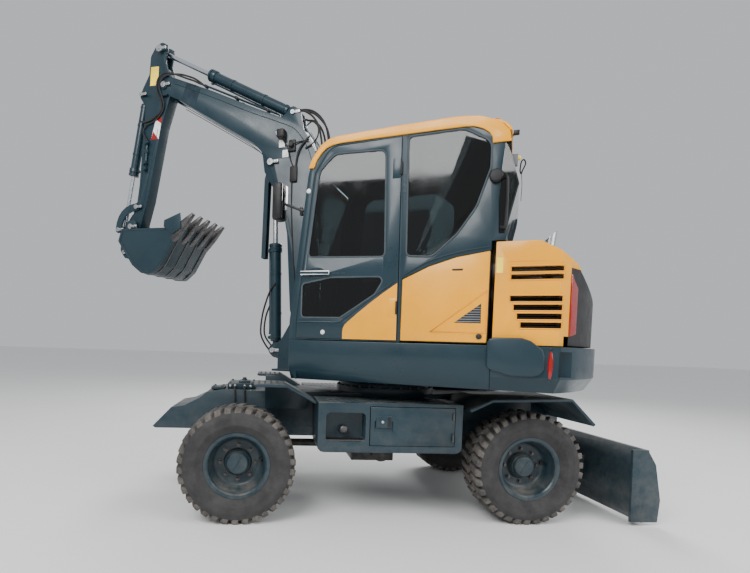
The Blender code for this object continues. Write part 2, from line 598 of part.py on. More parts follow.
def arm():
    """Tapered box arm with its cylinder ears, both forks and the bucket boss."""
    low, high = BOOM_Y - ARM_HALF, BOOM_Y + ARM_HALF
    side = [(2.540, 4.480), (2.560, 4.300), (2.500, 4.120), (2.445, 4.036), (2.490, 3.930),
            (2.598, 3.626), (2.767, 2.843), (2.860, 2.549), (3.010, 2.549), (2.945, 2.740),
            (2.906, 2.842), (2.880, 3.018), (2.829, 3.655), (2.815, 3.860), (2.895, 3.980, 0.04),
            (2.850, 4.070, 0.04), (2.770, 4.200), (2.754, 4.390, 0.05), (2.690, 4.480)]
    mesh = prism(fillet(side), "Y", low, high)
    parts = [disc((ARM_TOP[0], 0, ARM_TOP[1]), "Y", 0.078, low, high, 14)]
    parts.append(disc((ARM_PIVOT[0], 0, ARM_PIVOT[1]), "Y", 0.095, low, high, 18))
    parts.append(disc((BUCKET_PIVOT[0], 0, BUCKET_PIVOT[1]), "Y", 0.072, low, high, 18))
    parts.append(disc((GUIDE_PIVOT[0], 0, GUIDE_PIVOT[1]), "Y", 0.055, low, high, 14))
    mesh = join(mesh, *parts)
    top_slot = disc((ARM_TOP[0], 0, ARM_TOP[1]), "Y", 0.200, BOOM_Y - 0.0445, BOOM_Y + 0.0445, 24)
    rear_slot = box((2.380, BOOM_Y - 0.0445, 4.240), (2.613, BOOM_Y + 0.0445, 4.600))
    foot_slot = disc((BUCKET_CYL_FOOT[0], 0, BUCKET_CYL_FOOT[1]), "Y", 0.075,
                     BOOM_Y - 0.0445, BOOM_Y + 0.0445, 18)
    front_slot = box((2.805, BOOM_Y - 0.0445, 3.720), (3.000, BOOM_Y + 0.0445, 3.985))
    keep = disc((BUCKET_CYL_FOOT[0], 0, BUCKET_CYL_FOOT[1]), "Y", 0.022, BOOM_Y - 0.060,
                BOOM_Y + 0.060, 12)
    bores = [disc((ARM_PIVOT[0], 0, ARM_PIVOT[1]), "Y", PIN + 0.002, low - 0.01, high + 0.01, 14),
             disc((BUCKET_PIVOT[0], 0, BUCKET_PIVOT[1]), "Y", PIN + 0.002, low - 0.01,
                  high + 0.01, 14)]
    mesh = cut(mesh, top_slot, rear_slot, cut(join(foot_slot, front_slot), keep), *bores)
    pins = [disc((BUCKET_CYL_FOOT[0], 0, BUCKET_CYL_FOOT[1]), "Y", 0.022, BOOM_Y - 0.095,
                 BOOM_Y + 0.095, 12)]
    pins.append(disc((GUIDE_PIVOT[0], 0, GUIDE_PIVOT[1]), "Y", 0.026, BOOM_Y - 0.098,
                     BOOM_Y + 0.098, 12))
    for sign in (1, -1):
        stub = sorted((BOOM_Y + sign * 0.050, BOOM_Y + sign * 0.104))
        pins.append(disc((ARM_TOP[0], 0, ARM_TOP[1]), "Y", 0.024, *stub, 12))
    return join(mesh, *pins)


def banana(start, end, width, bow, steps=6):
    """Outline of a curved link plate with round ends, bowed to the left of start to end."""
    start, end = Vector(start), Vector(end)
    run = end - start
    side = Vector((-run.y, run.x)).normalized()
    middle = [start + run * t + side * bow * 4 * t * (1 - t) for t in
              [k / steps for k in range(steps + 1)]]
    outline = []
    for sign, ordered in ((1, middle), (-1, middle[::-1])):
        for i, point in enumerate(ordered):
            before, after = ordered[max(i - 1, 0)], ordered[min(i + 1, steps)]
            out = (after - before).normalized()
            outline.append(point + Vector((out.y, -out.x)) * width / 2)
        tip = (ordered[-1] - ordered[-2]).normalized()
        for k in (1, 2, 3):
            angle = math.pi * k / 4
            across = Vector((tip.y, -tip.x))
            outline.append(ordered[-1] + (across * math.cos(angle) + tip * math.sin(angle)) * width / 2)
    return outline


def guide_link(sign):
    plate_y = sorted((BOOM_Y + sign * 0.076, BOOM_Y + sign * 0.094))
    mesh = prism(banana(GUIDE_PIVOT, LINK_PIN, 0.080, 0.075), "Y", *plate_y)
    stub_y = sorted((BOOM_Y + sign * 0.048, BOOM_Y + sign * 0.098))
    stub = disc((LINK_PIN[0], 0, LINK_PIN[1]), "Y", 0.026, *stub_y, 12)
    hole_y = sorted((BOOM_Y + sign * 0.060, BOOM_Y + sign * 0.120))
    hole = disc((GUIDE_PIVOT[0], 0, GUIDE_PIVOT[1]), "Y", 0.028, *hole_y, 14)
    return cut(join(mesh, stub), hole)


def bucket_link():
    """Two plates from the bucket's ears up to the rod pin, joined by a web."""
    pull = Vector(LINK_PIN) - Vector(BUCKET_EAR)
    parts = []
    for sign in (1, -1):
        plate_y = sorted((BOOM_Y + sign * 0.045, BOOM_Y + sign * 0.063))
        parts.append(prism(banana(BUCKET_EAR, Vector(BUCKET_EAR) + pull * 0.74, 0.072, 0.0),
                           "Y", *plate_y))
    middle = Vector(BUCKET_EAR) + pull * 0.30
    web = rod((middle.x, BOOM_Y - 0.055, middle.y), (middle.x, BOOM_Y + 0.055, middle.y), 0.024)
    mesh = join(web, *parts)
    bore = disc((BUCKET_EAR[0], 0, BUCKET_EAR[1]), "Y", 0.026, BOOM_Y - 0.1, BOOM_Y + 0.1, 14)
    return cut(mesh, bore)


def bucket():
    """Open digging bucket: curved shell, two side plates, ears, five teeth, side cutters."""
    outer = [(2.905, 2.480), (2.950, 2.352), (2.909, 2.297), (2.756, 2.089, 0.08),
             (2.634, 2.001, 0.08), (2.503, 1.987, 0.08), (2.381, 2.081, 0.08), (2.206, 2.361),
             (2.128, 2.456)]
    low, high = BOOM_Y - BUCKET_HALF, BOOM_Y + BUCKET_HALF
    rim_line = fillet(outer)
    shell = prism(rim_line, "Y", low, high)
    inner = [(2.875, 2.600), (2.880, 2.460), (2.918, 2.352), (2.885, 2.310), (2.735, 2.108, 0.07),
             (2.625, 2.024, 0.07), (2.510, 2.012, 0.07), (2.398, 2.094, 0.07), (2.224, 2.366),
             (2.150, 2.475), (2.120, 2.600)]
    hollow = prism(fillet(inner), "Y", low + 0.018, high - 0.018)
    mesh = cut(shell, hollow)
    parts = []
    for sign in (1, -1):
        ear_y = sorted((BOOM_Y + sign * 0.104, BOOM_Y + sign * 0.126))
        ear = fillet([(2.860, 2.340), (2.880, 2.620, 0.05), (2.990, 2.620, 0.05),
                      (3.090, 2.300, 0.05), (3.020, 2.200, 0.05), (2.830, 2.185)])
        parts.append(prism(ear, "Y", *ear_y))
        cutter_y = sorted((BOOM_Y + sign * (BUCKET_HALF - 0.004),
                           BOOM_Y + sign * (BUCKET_HALF + 0.016)))
        cutter = [(2.340, 2.470), (2.335, 2.535), (2.139, 2.598), (2.128, 2.440), (2.240, 2.390)]
        parts.append(prism(cutter, "Y", *cutter_y))
    for k in range(5):
        y = BOOM_Y + (k - 2) * 0.142
        tooth = [(2.255, 2.350), (2.235, 2.325), (2.105, 2.455), (2.000, 2.580), (2.012, 2.588),
                 (2.170, 2.490)]
        parts.append(prism(tooth, "Y", y - 0.020, y + 0.020))
    parts.append(disc((BUCKET_PIVOT[0], 0, BUCKET_PIVOT[1]), "Y", PIN, BOOM_Y - 0.136,
                      BOOM_Y + 0.136, 12))
    parts.append(disc((BUCKET_EAR[0], 0, BUCKET_EAR[1]), "Y", 0.024, BOOM_Y - 0.136,
                      BOOM_Y + 0.136, 12))
    return join(mesh, *parts)


# ---------------------------------------------------------------- upper structure
DOOR_HINGE = (-0.290, 0.962, 1.350)
PANEL_HINGE = (-0.325, 0.962, 1.350)
HOOD_HINGE = (-1.100, 0.0, 1.985)
CAB_WALL = 0.045
EXHAUST = (-1.290, -0.100, 0.042)        # x, y and radius of the tail pipe


def upper_frame():
    """Deck plate on the slew ring with the boom bracket out in front."""
    deck = [(-0.930, -0.870), (0.300, -0.870), (0.430, -0.600), (0.430, 0.700), (0.300, 0.870),
            (-0.930, 0.870)]
    mesh = prism(deck, "Z", DECK_Z, DECK_Z + 0.060)
    parts = [disc((0, 0, 0), "Z", 0.380, 0.985 + GAP, DECK_Z + 0.02, 28)]
    parts.append(box((0.300, -0.330, DECK_Z), (0.560, 0.030, 1.330)))
    for sign in (1, -1):
        side = [(0.400, DECK_Z), (1.085, DECK_Z), (1.085, 1.170), (1.060, 1.330), (0.962, 1.500),
                (0.930, 1.530), (0.800, 1.530), (0.640, 1.330), (0.400, 1.330)]
        plate = sorted((BOOM_Y + sign * 0.106, BOOM_Y + sign * 0.136))
        parts.append(prism(side, "Y", *plate))
        ear = fillet([(1.060, 1.140), (1.172, 1.165, 0.04), (1.245, 1.235, 0.05),
                      (1.172, 1.305, 0.05), (1.060, 1.330)])
        ear_y = sorted((BOOM_Y + sign * 0.045, BOOM_Y + sign * 0.070))
        parts.append(prism(ear, "Y", *ear_y))
    parts.append(box((1.050, BOOM_Y - 0.120, DECK_Z), (1.085, BOOM_Y + 0.120, 1.330)))
    parts.append(box((0.500, BOOM_Y - 0.120, DECK_Z), (1.070, BOOM_Y + 0.120, 1.060)))
    parts.append(box((0.940, BOOM_Y - 0.160, DECK_Z), (1.135, BOOM_Y + 0.160, 1.050)))
    parts.append(disc((BOOM_CYL_FOOT[0], 0, BOOM_CYL_FOOT[1]), "Y", 0.028, BOOM_Y - 0.080,
                      BOOM_Y + 0.080, 12))
    parts.append(disc((BOOM_FOOT[0], 0, BOOM_FOOT[1]), "Y", 0.035, BOOM_Y - 0.150,
                      BOOM_Y + 0.150, 12))
    return join(mesh, *parts)


def skirt(sign):
    """Side cover below the cab or the tanks, chamfered along its foot, wrapped at the front."""
    foot = HALF_WIDTH - 0.055
    section = [(sign * 0.880, SKIRT_TOP), (sign * HALF_WIDTH, SKIRT_TOP),
               (sign * HALF_WIDTH, 1.120), (sign * foot, DECK_Z), (sign * 0.880, DECK_Z)]
    mesh = prism(section, "X", -0.930, 0.532)
    inner = sorted((sign * 0.060, sign * (HALF_WIDTH - 0.010)))
    if sign < 0:
        inner = (-HALF_WIDTH + 0.010, -0.345)
    front = prism([(0.470, SKIRT_TOP), (0.532, SKIRT_TOP), (0.532, 1.120), (0.480, DECK_Z),
                   (0.470, DECK_Z)], "Y", *inner)
    return join(mesh, front)


def tail_outline(radius, half, front, steps=18):
    """Plan of the tail: straight sides back from front, closed by an arc about the slew axis."""
    reach = math.asin(half / radius)
    arc = [(-radius * math.cos(a), radius * math.sin(a)) for a in
           [reach - 2 * reach * k / steps for k in range(steps + 1)]]
    return [(front, half)] + arc + [(front, -half)]


def counterweight():
    mesh = prism(tail_outline(TAIL_RADIUS, HALF_WIDTH, -0.932), "Z", 1.120, SKIRT_TOP)
    bm = bmesh.new()
    rings = []
    for inset, z in ((0.055, DECK_Z), (0.0, 1.121)):
        plan = tail_outline(TAIL_RADIUS - inset, HALF_WIDTH - inset, -0.932)
        rings.append([bm.verts.new((x, y, z)) for x, y in plan])
    bm.faces.new(rings[0])
    bm.faces.new(rings[1])
    for i in range(len(rings[0])):
        j = (i + 1) % len(rings[0])
        bm.faces.new((rings[0][i], rings[0][j], rings[1][j], rings[1][i]))
    mesh = join(mesh, mesh_of(bm))
    pockets = []
    for sign in (1, -1):
        faces = sorted((sign * (HALF_WIDTH - 0.120), sign * (HALF_WIDTH + 0.050)))
        pockets.append(box((-1.570, faces[0], 1.135), (-1.340, faces[1], 1.300)))
    return cut(mesh, *pockets)


def hood_body(inset):
    """The engine hood's outer form, or its hollow when inset."""
    side = [(-0.935 + inset, SKIRT_TOP + 0.006), (-0.935 + inset, 2.010 - inset),
            (-1.200, 2.010 - inset, 0.10), (-1.440 + inset, 1.880 - inset, 0.10),
            (-1.660 + inset, 1.600, 0.20), (-1.660 + inset, SKIRT_TOP + 0.006)]
    block = prism(fillet(side, 4), "Y", -1.2, 1.2)
    plan = prism(tail_outline(TAIL_RADIUS - 0.025 - inset, HALF_WIDTH - 0.012 - inset,
                              -0.930 + inset), "Z", 1.2, 2.1)
    return common(plan, block)


def engine_hood():
    """Yellow hood over the engine: top and both flanks, with the cooling slots cut through."""
    shell = cut(hood_body(0.0), hood_body(0.024))
    mouth = box((-1.150, -0.900, 1.200), (-0.900, 0.900, 1.984))
    below = box((-1.550, -0.880, 1.200), (-0.950, 0.880, 1.400))
    tail = box((-1.80, -1.0, 1.200), (-1.395, 1.0, 1.845))
    slots = []
    for sign in (1, -1):
        through = sorted((sign * 0.80, sign * 1.0))
        for z in (1.828, 1.777):
            slots.append(box((-1.345, through[0], z - 0.0165), (-1.035, through[1], z + 0.0165)))
        for k in range(4):
            z = 1.637 - k * 0.057
            slots.append(box((-1.345, through[0], z - 0.0185),
                             (-1.035 - 0.023 * k, through[1], z + 0.0185)))
    stack = disc((EXHAUST[0], EXHAUST[1], 0), "Z", EXHAUST[2] + 0.002, 1.850, 2.100, 16)
    heel = prism([(-1.120, 1.300), (-1.120, 1.336), (-1.050, 1.340), (-0.980, 1.348),
                  (-0.900, 1.367), (-0.900, 1.300)], "Y", -1.0, 1.0)
    return cut(shell, mouth, below, tail, stack, heel, *slots)


def tail_panel():
    """Black panel round the back of the hood, between the tail lamps."""
    shell = cut(hood_body(0.004), hood_body(0.030))
    keep = box((-1.80, -1.0, SKIRT_TOP + 0.010), (-1.3955, 1.0, 1.8445))
    return common(shell, keep)


def engine_block():
    mesh = box((-1.360, -0.420, SKIRT_TOP + GAP), (-0.980, 0.420, 1.760))
    return soften(mesh, 0.04, 1)


def side_panel():
    """Access panel behind the cab door, with its top following the cab's waist."""
    top = [(-0.325, 1.345), (-0.325, 1.772), (-0.505, 1.858), (-0.688, 1.916), (-0.900, 1.950),
           (-0.900, 1.345)]
    return prism(top, "Y", HALF_WIDTH - 0.038, HALF_WIDTH + 0.002)


def right_cover():
    """Raised cover over the tanks and valves on the machine's right."""
    side = [(0.500, SKIRT_TOP + GAP), (0.500, 1.560, 0.10), (0.300, 1.700, 0.15),
            (-0.300, 1.780, 0.2), (-0.500, 1.980, 0.1), (-0.920, 1.990), (-0.920, SKIRT_TOP + GAP)]
    return prism(fillet(side, 4), "Y", -HALF_WIDTH + 0.004, -0.340)


CAB_SIDE = [(0.532, 1.336), (0.532, 1.470), (0.408, 2.600, 0.25), (0.290, 2.800, 0.20),
            (-0.250, 2.822), (-0.690, 2.832, 0.5), (-0.985, 2.760, 0.12), (-1.010, 2.560),
            (-1.065, 2.374, 0.3), (-0.990, 2.020), (-0.905, 2.016), (-0.905, 1.336)]
DOOR_SIDE = [(0.472, 1.346), (0.472, 1.480), (0.360, 2.560, 0.15), (0.240, 2.745, 0.12),
             (-0.284, 2.758), (-0.300, 1.346)]
DOOR_WINDOW = [(0.396, 1.950, 0.03), (0.325, 2.580, 0.10), (0.205, 2.695, 0.08),
               (-0.176, 2.685, 0.05), (-0.195, 1.935, 0.03)]
DOOR_LOWER = [(0.436, 1.500, 0.03), (0.436, 1.755, 0.03), (0.207, 1.798), (-0.205, 1.795, 0.03),
              (-0.130, 1.670), (0.126, 1.500, 0.03)]
REAR_WINDOW = [(-0.345, 1.935, 0.03), (-0.330, 2.755, 0.03), (-0.700, 2.762, 0.08),
               (-0.880, 2.660, 0.08), (-0.880, 2.490, 0.1), (-0.799, 2.240, 0.2),
               (-0.682, 2.070, 0.2), (-0.523, 1.925, 0.08)]
RIGHT_WINDOW = [(0.300, 1.850, 0.05), (0.230, 2.620, 0.08), (-0.700, 2.650, 0.08),
                (-0.700, 2.020, 0.05), (-0.300, 1.850, 0.05)]


def shrink(points, inset):
    """The outline moved inwards, corner radii kept. Corners run anticlockwise or clockwise."""
    flat = [Vector(p[:2]) for p in points]
    area = sum(a.x * b.y - b.x * a.y for a, b in zip(flat, flat[1:] + flat[:1]))
    turn = 1 if area > 0 else -1
    moved = []
    for i, here in enumerate(flat):
        before = (here - flat[i - 1]).normalized()
        after = (flat[(i + 1) % len(flat)] - here).normalized()
        normals = [Vector((-d.y, d.x)) * turn for d in (before, after)]
        shift = (normals[0] + normals[1]) / (1 + normals[0].dot(normals[1]))
        here = here + shift * inset
        moved.append((here.x, here.y, *points[i][2:]))
    return moved


def cab_shell():
    """Hollow cab with its door opening and every window cut."""
    outer = prism(fillet(CAB_SIDE), "Y", CAB_RIGHT, HALF_WIDTH)
    inner = prism(fillet(shrink(CAB_SIDE, CAB_WALL)), "Y", CAB_RIGHT + CAB_WALL,
                  HALF_WIDTH - CAB_WALL)
    doorway = prism(fillet(shrink(DOOR_SIDE, -0.004)), "Y", HALF_WIDTH - 0.060, HALF_WIDTH + 0.1)
    rear_side = prism(fillet(REAR_WINDOW), "Y", HALF_WIDTH - 0.060, HALF_WIDTH + 0.1)
    right_side = prism(fillet(RIGHT_WINDOW), "Y", CAB_RIGHT - 0.1, CAB_RIGHT + 0.060)
    front = box((0.300, CAB_RIGHT + 0.060, 1.520), (0.700, HALF_WIDTH - 0.060, 2.640))
    back = box((-1.200, CAB_RIGHT + 0.060, 2.060), (-0.930, HALF_WIDTH - 0.050, 2.650))
    corner = prism([(-0.945, 2.060), (-0.935, 2.280), (-0.945, 2.480), (-0.960, 2.650),
                    (-1.20, 2.650), (-1.20, 2.060)], "Y", HALF_WIDTH - 0.070, HALF_WIDTH + 0.1)
    panel = prism(fillet([(-0.322, 1.300), (-0.322, 1.776), (-0.505, 1.862), (-0.688, 1.920),
                          (-0.95, 1.958), (-0.95, 1.300)]), "Y", HALF_WIDTH - 0.042, HALF_WIDTH + 0.1)
    return cut(outer, inner, doorway, rear_side, right_side, front, back, corner, panel)


def cab_roof():
    """Yellow cap over the cab's top, down to the head of the front pillar."""
    outer = fillet(shrink(CAB_SIDE, -0.016))
    inner = fillet(shrink(CAB_SIDE, -GAP))
    cap = prism(outer, "Y", CAB_RIGHT - 0.004, HALF_WIDTH + 0.008)
    body_form = prism(inner, "Y", CAB_RIGHT - 0.1, HALF_WIDTH + 0.1)
    below = prism([(0.9, 1.0), (0.9, 2.600), (0.300, 2.690), (-0.900, 2.740), (-1.3, 2.640),
                   (-1.3, 1.0)], "Y", -0.2, 1.2)
    return cut(cap, body_form, below)


def cab_door():
    leaf = prism(fillet(DOOR_SIDE), "Y", HALF_WIDTH - 0.040, HALF_WIDTH + 0.004)
    windows = [prism(fillet(outline), "Y", HALF_WIDTH - 0.1, HALF_WIDTH + 0.1)
               for outline in (DOOR_WINDOW, DOOR_LOWER)]
    leaf = cut(leaf, *windows)
    grip = rod((0.440, HALF_WIDTH + 0.030, 1.832), (0.215, HALF_WIDTH + 0.030, 1.828), 0.011, 10)
    posts = [rod((x, HALF_WIDTH - 0.010, 1.830), (x, HALF_WIDTH + 0.032, 1.830), 0.010, 10)
             for x in (0.420, 0.235)]
    return join(leaf, grip, *posts)


def pane(outline, low, high):
    return prism(fillet(shrink(outline, GAP)), "Y", low, high)


def windshield():
    """Front window, following the cab's front edge."""
    line = [(0.527, 1.524), (0.413, 2.575), (0.398, 2.636)]
    back = [(x - 0.008, z) for x, z in line][::-1]
    return prism(line + back, "Y", CAB_RIGHT + 0.060 + GAP, HALF_WIDTH - 0.060 - GAP)


def rear_glass():
    """Back window, bulged, wrapped round the cab's rear corner."""
    line = [(-0.985, 2.064), (-1.056, 2.374), (-1.005, 2.560), (-0.992, 2.646)]
    inner = [(x + 0.008, z) for x, z in line][::-1]
    back = prism(line + inner, "Y", CAB_RIGHT + 0.060 + GAP, HALF_WIDTH - 0.001)
    wing = prism([(-0.9465, 2.062), (-0.9365, 2.280), (-0.9465, 2.480), (-0.9615, 2.648),
                  (-0.990, 2.648), (-1.005, 2.560), (-1.056, 2.374), (-0.986, 2.062)],
                 "Y", HALF_WIDTH - 0.010, HALF_WIDTH - 0.001)
    return join(back, wing)


def seat():
    """Operator's seat: base, cushion and back in one closed form."""
    y = (CAB_RIGHT + HALF_WIDTH) / 2
    mesh = box((-0.480, y - 0.180, 1.382), (-0.080, y + 0.180, 1.620))
    cushion = soften(box((-0.520, y - 0.250, 1.600), (-0.020, y + 0.250, 1.740)), 0.04)
    back = prism(fillet([(-0.560, 1.640, 0.04), (-0.430, 1.640, 0.04), (-0.520, 2.280, 0.05),
                         (-0.640, 2.280, 0.05)]), "Y", y - 0.230, y + 0.230)
    return join(mesh, cushion, back)


def controls():
    """Floor mat with the two lever consoles and the steering column standing on it."""
    y = (CAB_RIGHT + HALF_WIDTH) / 2
    mat = box((-0.440, y - 0.370, 1.3815), (0.420, y + 0.370, 1.389))
    parts = []
    for sign in (1, -1):
        ends = sorted((y + sign * 0.265, y + sign * 0.360))
        side = fillet([(-0.420, 1.385), (0.020, 1.385), (0.080, 1.760, 0.04),
                       (-0.420, 1.800, 0.03)])
        parts.append(prism(side, "Y", *ends))
        middle = y + sign * 0.312
        parts.append(rod((0.020, middle, 1.740), (0.050, middle, 1.900), 0.016, 10))
    parts.append(rod((0.357, y, 1.396), (0.230, y, 1.900), 0.035, 12))
    wheel = turned([(0.150, -0.014), (0.178, -0.014), (0.178, 0.014), (0.150, 0.014)],
                   (0, 0, 0), "Z", 24, closed=True)
    hub = disc((0, 0, 0), "Z", 0.050, -0.020, 0.020, 12)
    spokes = [box((-0.160, -0.012, -0.006), (0.160, 0.012, 0.006)),
              box((-0.012, -0.160, -0.006), (0.012, 0.160, 0.006))]
    wheel = join(wheel, hub, *spokes)
    tilt = Matrix.Translation((0.226, y, 1.915)) @ Matrix.Rotation(math.radians(-14), 4, "Y")
    wheel.transform(tilt)
    seat_room = box((-0.4845, y - 0.1845, 1.300), (-0.0755, y + 0.1845, 1.700))
    return cut(join(mat, wheel, *parts), seat_room)


def mirror():
    """Side mirror on a bent arm from the front pillar."""
    housing = soften(box((0.610, 0.880, 2.240), (0.690, 1.000, 2.520)), 0.02)
    arm_bar = rod((0.640, 0.940, 2.380), (0.448, 0.940, 2.300), 0.010, 8)
    foot = box((0.455, 0.920, 2.270), (0.475, 0.948, 2.330))
    return join(housing, arm_bar, foot)


def exhaust():
    """Tail pipe with a slanted mouth, up through the hood."""
    radius = EXHAUST[2]
    profile = [(0, 1.880), (radius, 1.880), (radius, 2.240), (radius - 0.006, 2.240),
               (radius - 0.006, 1.920), (0, 1.920)]
    pipe = turned(profile, (EXHAUST[0], EXHAUST[1], 0), "Z", 16)
    for vertex in pipe.vertices:
        if vertex.co.z > 2.200:
            vertex.co.z += vertex.co.x - EXHAUST[0]
    return pipe


# ---------------------------------------------------------------- assembly
def build_chassis():
    node("chassis_frame", "chassis", "slate_paint", chassis_frame())
    node("front_axle", "chassis", "black_metal", front_axle())
    node("rear_axle", "chassis", "black_metal", rear_axle())
    node("driveline", "chassis", "black_metal", driveline())
    for side, sign in (("left", 1), ("right", -1)):
        node("toolbox_" + side, "chassis", "slate_paint", toolbox(sign))
        node("toolbox_door_" + side, "toolbox_door_" + side, "slate_paint", toolbox_door(sign))
        node("rear_fender_" + side, "chassis", "slate_paint", rear_fender(sign))
        node("front_step_" + side, "chassis", "slate_paint", front_step(sign))
        node("knuckle_" + side, "knuckle_" + side, "black_metal", knuckle(sign))
        for end, x in (("front", WHEELBASE / 2), ("rear", -WHEELBASE / 2)):
            name = "%s_%s" % (end, side)
            centre = (x, sign * TRACK / 2, TYRE_RADIUS)
            node(name + "_tyre", name + "_wheel", "tyre", tyre(centre))
            node(name + "_rim", name + "_wheel", "slate_paint", rim(centre, sign))
    node("dozer_blade", "blade", "slate_paint", blade())


def build_upper():
    node("upper_frame", "upper", "slate_paint", upper_frame())
    node("left_skirt", "upper", "slate_paint", skirt(1))
    node("right_skirt", "upper", "slate_paint", skirt(-1))
    node("counterweight", "upper", "slate_paint", counterweight())
    node("engine_block", "upper", "black_metal", engine_block())
    node("engine_hood", "engine_hood", "amber_paint", engine_hood())
    node("tail_panel", "engine_hood", "black_plastic", tail_panel())
    node("exhaust_pipe", "engine_hood", "steel", exhaust())
    node("left_side_panel", "side_panel", "amber_paint", side_panel())
    node("right_cover", "upper", "slate_paint", right_cover())


def build_cab():
    node("cab_shell", "upper", "slate_paint", cab_shell())
    node("cab_roof", "upper", "amber_paint", cab_roof())
    node("windshield", "upper", "glass", windshield())
    node("rear_glass", "upper", "glass", rear_glass())
    depth = (HALF_WIDTH - 0.010, HALF_WIDTH - 0.002)
    node("left_rear_window", "upper", "glass", pane(REAR_WINDOW, *depth))
    right_depth = (CAB_RIGHT + 0.002, CAB_RIGHT + 0.010)
    node("right_window", "upper", "glass", pane(RIGHT_WINDOW, *right_depth))
    node("cab_door", "cab_door", "slate_paint", cab_door())
    node("door_window", "cab_door", "glass", pane(DOOR_WINDOW, *depth))
    node("door_lower_window", "cab_door", "glass", pane(DOOR_LOWER, *depth))
    node("operator_seat", "upper", "upholstery", seat())
    node("cab_controls", "upper", "black_plastic", controls())
    node("left_mirror", "upper", "black_plastic", mirror())


def build_equipment():
    node("boom", "boom", "slate_paint", boom())
    node("arm", "arm", "slate_paint", arm())
    node("guide_link_left", "guide_link", "slate_paint", guide_link(1))
    node("guide_link_right", "guide_link", "slate_paint", guide_link(-1))
    node("bucket_link", "bucket_link", "slate_paint", bucket_link())
    node("bucket", "bucket", "slate_paint", bucket())
    cylinders()


def main():
    clear_scene()
    make_bodies()
    build_chassis()
    build_upper()
    build_cab()
    build_equipment()


main()
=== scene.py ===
"""Looks of the wheeled excavator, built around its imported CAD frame.

Run it as a script. It is laid out as an add-on: one operator for each group of pieces, a panel
that lists them, and main() that calls them in order. Lengths are metres in the frame's axes:
+X towards the front axle, +Y to the machine's left. Points of the upper structure are given in
the upper's own axes, with x out along the boom from the slew axis, and UPPER turns them.
"""

import json
import math

import bmesh
import bpy
from bpy.props import FloatProperty, FloatVectorProperty, IntProperty, PointerProperty
from mathutils import Matrix, Vector


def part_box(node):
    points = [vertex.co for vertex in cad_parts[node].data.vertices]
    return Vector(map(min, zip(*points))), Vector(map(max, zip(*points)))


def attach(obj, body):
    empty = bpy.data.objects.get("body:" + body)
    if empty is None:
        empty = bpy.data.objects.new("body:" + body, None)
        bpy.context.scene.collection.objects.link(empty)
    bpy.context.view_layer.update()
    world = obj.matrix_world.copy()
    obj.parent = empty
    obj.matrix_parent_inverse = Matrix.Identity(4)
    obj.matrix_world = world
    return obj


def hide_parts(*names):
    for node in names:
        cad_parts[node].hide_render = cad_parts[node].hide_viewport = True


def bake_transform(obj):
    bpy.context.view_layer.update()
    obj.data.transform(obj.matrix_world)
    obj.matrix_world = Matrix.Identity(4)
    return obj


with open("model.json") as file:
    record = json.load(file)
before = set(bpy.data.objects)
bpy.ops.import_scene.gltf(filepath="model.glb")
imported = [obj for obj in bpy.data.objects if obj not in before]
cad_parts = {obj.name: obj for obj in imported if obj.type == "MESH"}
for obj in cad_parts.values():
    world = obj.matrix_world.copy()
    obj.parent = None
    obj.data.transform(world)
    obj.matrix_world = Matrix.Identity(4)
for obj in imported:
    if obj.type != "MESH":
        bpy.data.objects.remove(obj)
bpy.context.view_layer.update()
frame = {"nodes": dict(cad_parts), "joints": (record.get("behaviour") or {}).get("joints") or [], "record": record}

bl_info = {
    "name": "Wheeled excavator",
    "version": (1, 0, 0),
    "blender": (4, 5, 0),
    "location": "View3D > Sidebar > Excavator",
    "description": "Dresses the wheeled excavator's frame with its finished pieces",
    "category": "Object",
}

JOINTS = {joint["name"]: joint for joint in frame["joints"]}


# ---------------------------------------------------------------- places
def joint_place(name):
    return Vector(JOINTS[name]["pos_m"])


WHEELS = {
    "front_left": ("front_left_wheel_spin", 1),
    "front_right": ("front_right_wheel_spin", -1),
    "rear_left": ("rear_left_wheel_spin", 1),
    "rear_right": ("rear_right_wheel_spin", -1),
}
MIDDLE = sum((joint_place(spin) for spin, side in WHEELS.values()), Vector()) / 4
CHASSIS = Matrix.Translation((MIDDLE.x, MIDDLE.y, 0))
SIDEWAYS = Vector(JOINTS["arm_swing"]["axis"])
SWING = math.atan2(-SIDEWAYS.x, SIDEWAYS.y)
SLEW = joint_place("slew")
UPPER = Matrix.Translation((SLEW.x, SLEW.y, 0)) @ Matrix.Rotation(SWING, 4, "Z")
BOOM_Y = (UPPER.inverted() @ joint_place("arm_swing")).y


def boom_line(x, z, offset=0.0):
    """A point beside the boom's middle plane."""
    return (x, BOOM_Y + offset, z)


# ---------------------------------------------------------------- mesh tools
def object_of(name, mesh):
    obj = bpy.data.objects.new(name, mesh)
    bpy.context.scene.collection.objects.link(obj)
    return obj


def baked(obj):
    """Turns an object and its modifiers into a plain mesh, and removes the object."""
    graph = bpy.context.evaluated_depsgraph_get()
    mesh = bpy.data.meshes.new_from_object(obj.evaluated_get(graph))
    bpy.data.objects.remove(obj)
    return mesh


def mesh_of(bm):
    bmesh.ops.recalc_face_normals(bm, faces=bm.faces)
    mesh = bpy.data.meshes.new("shape")
    bm.to_mesh(mesh)
    bm.free()
    return mesh


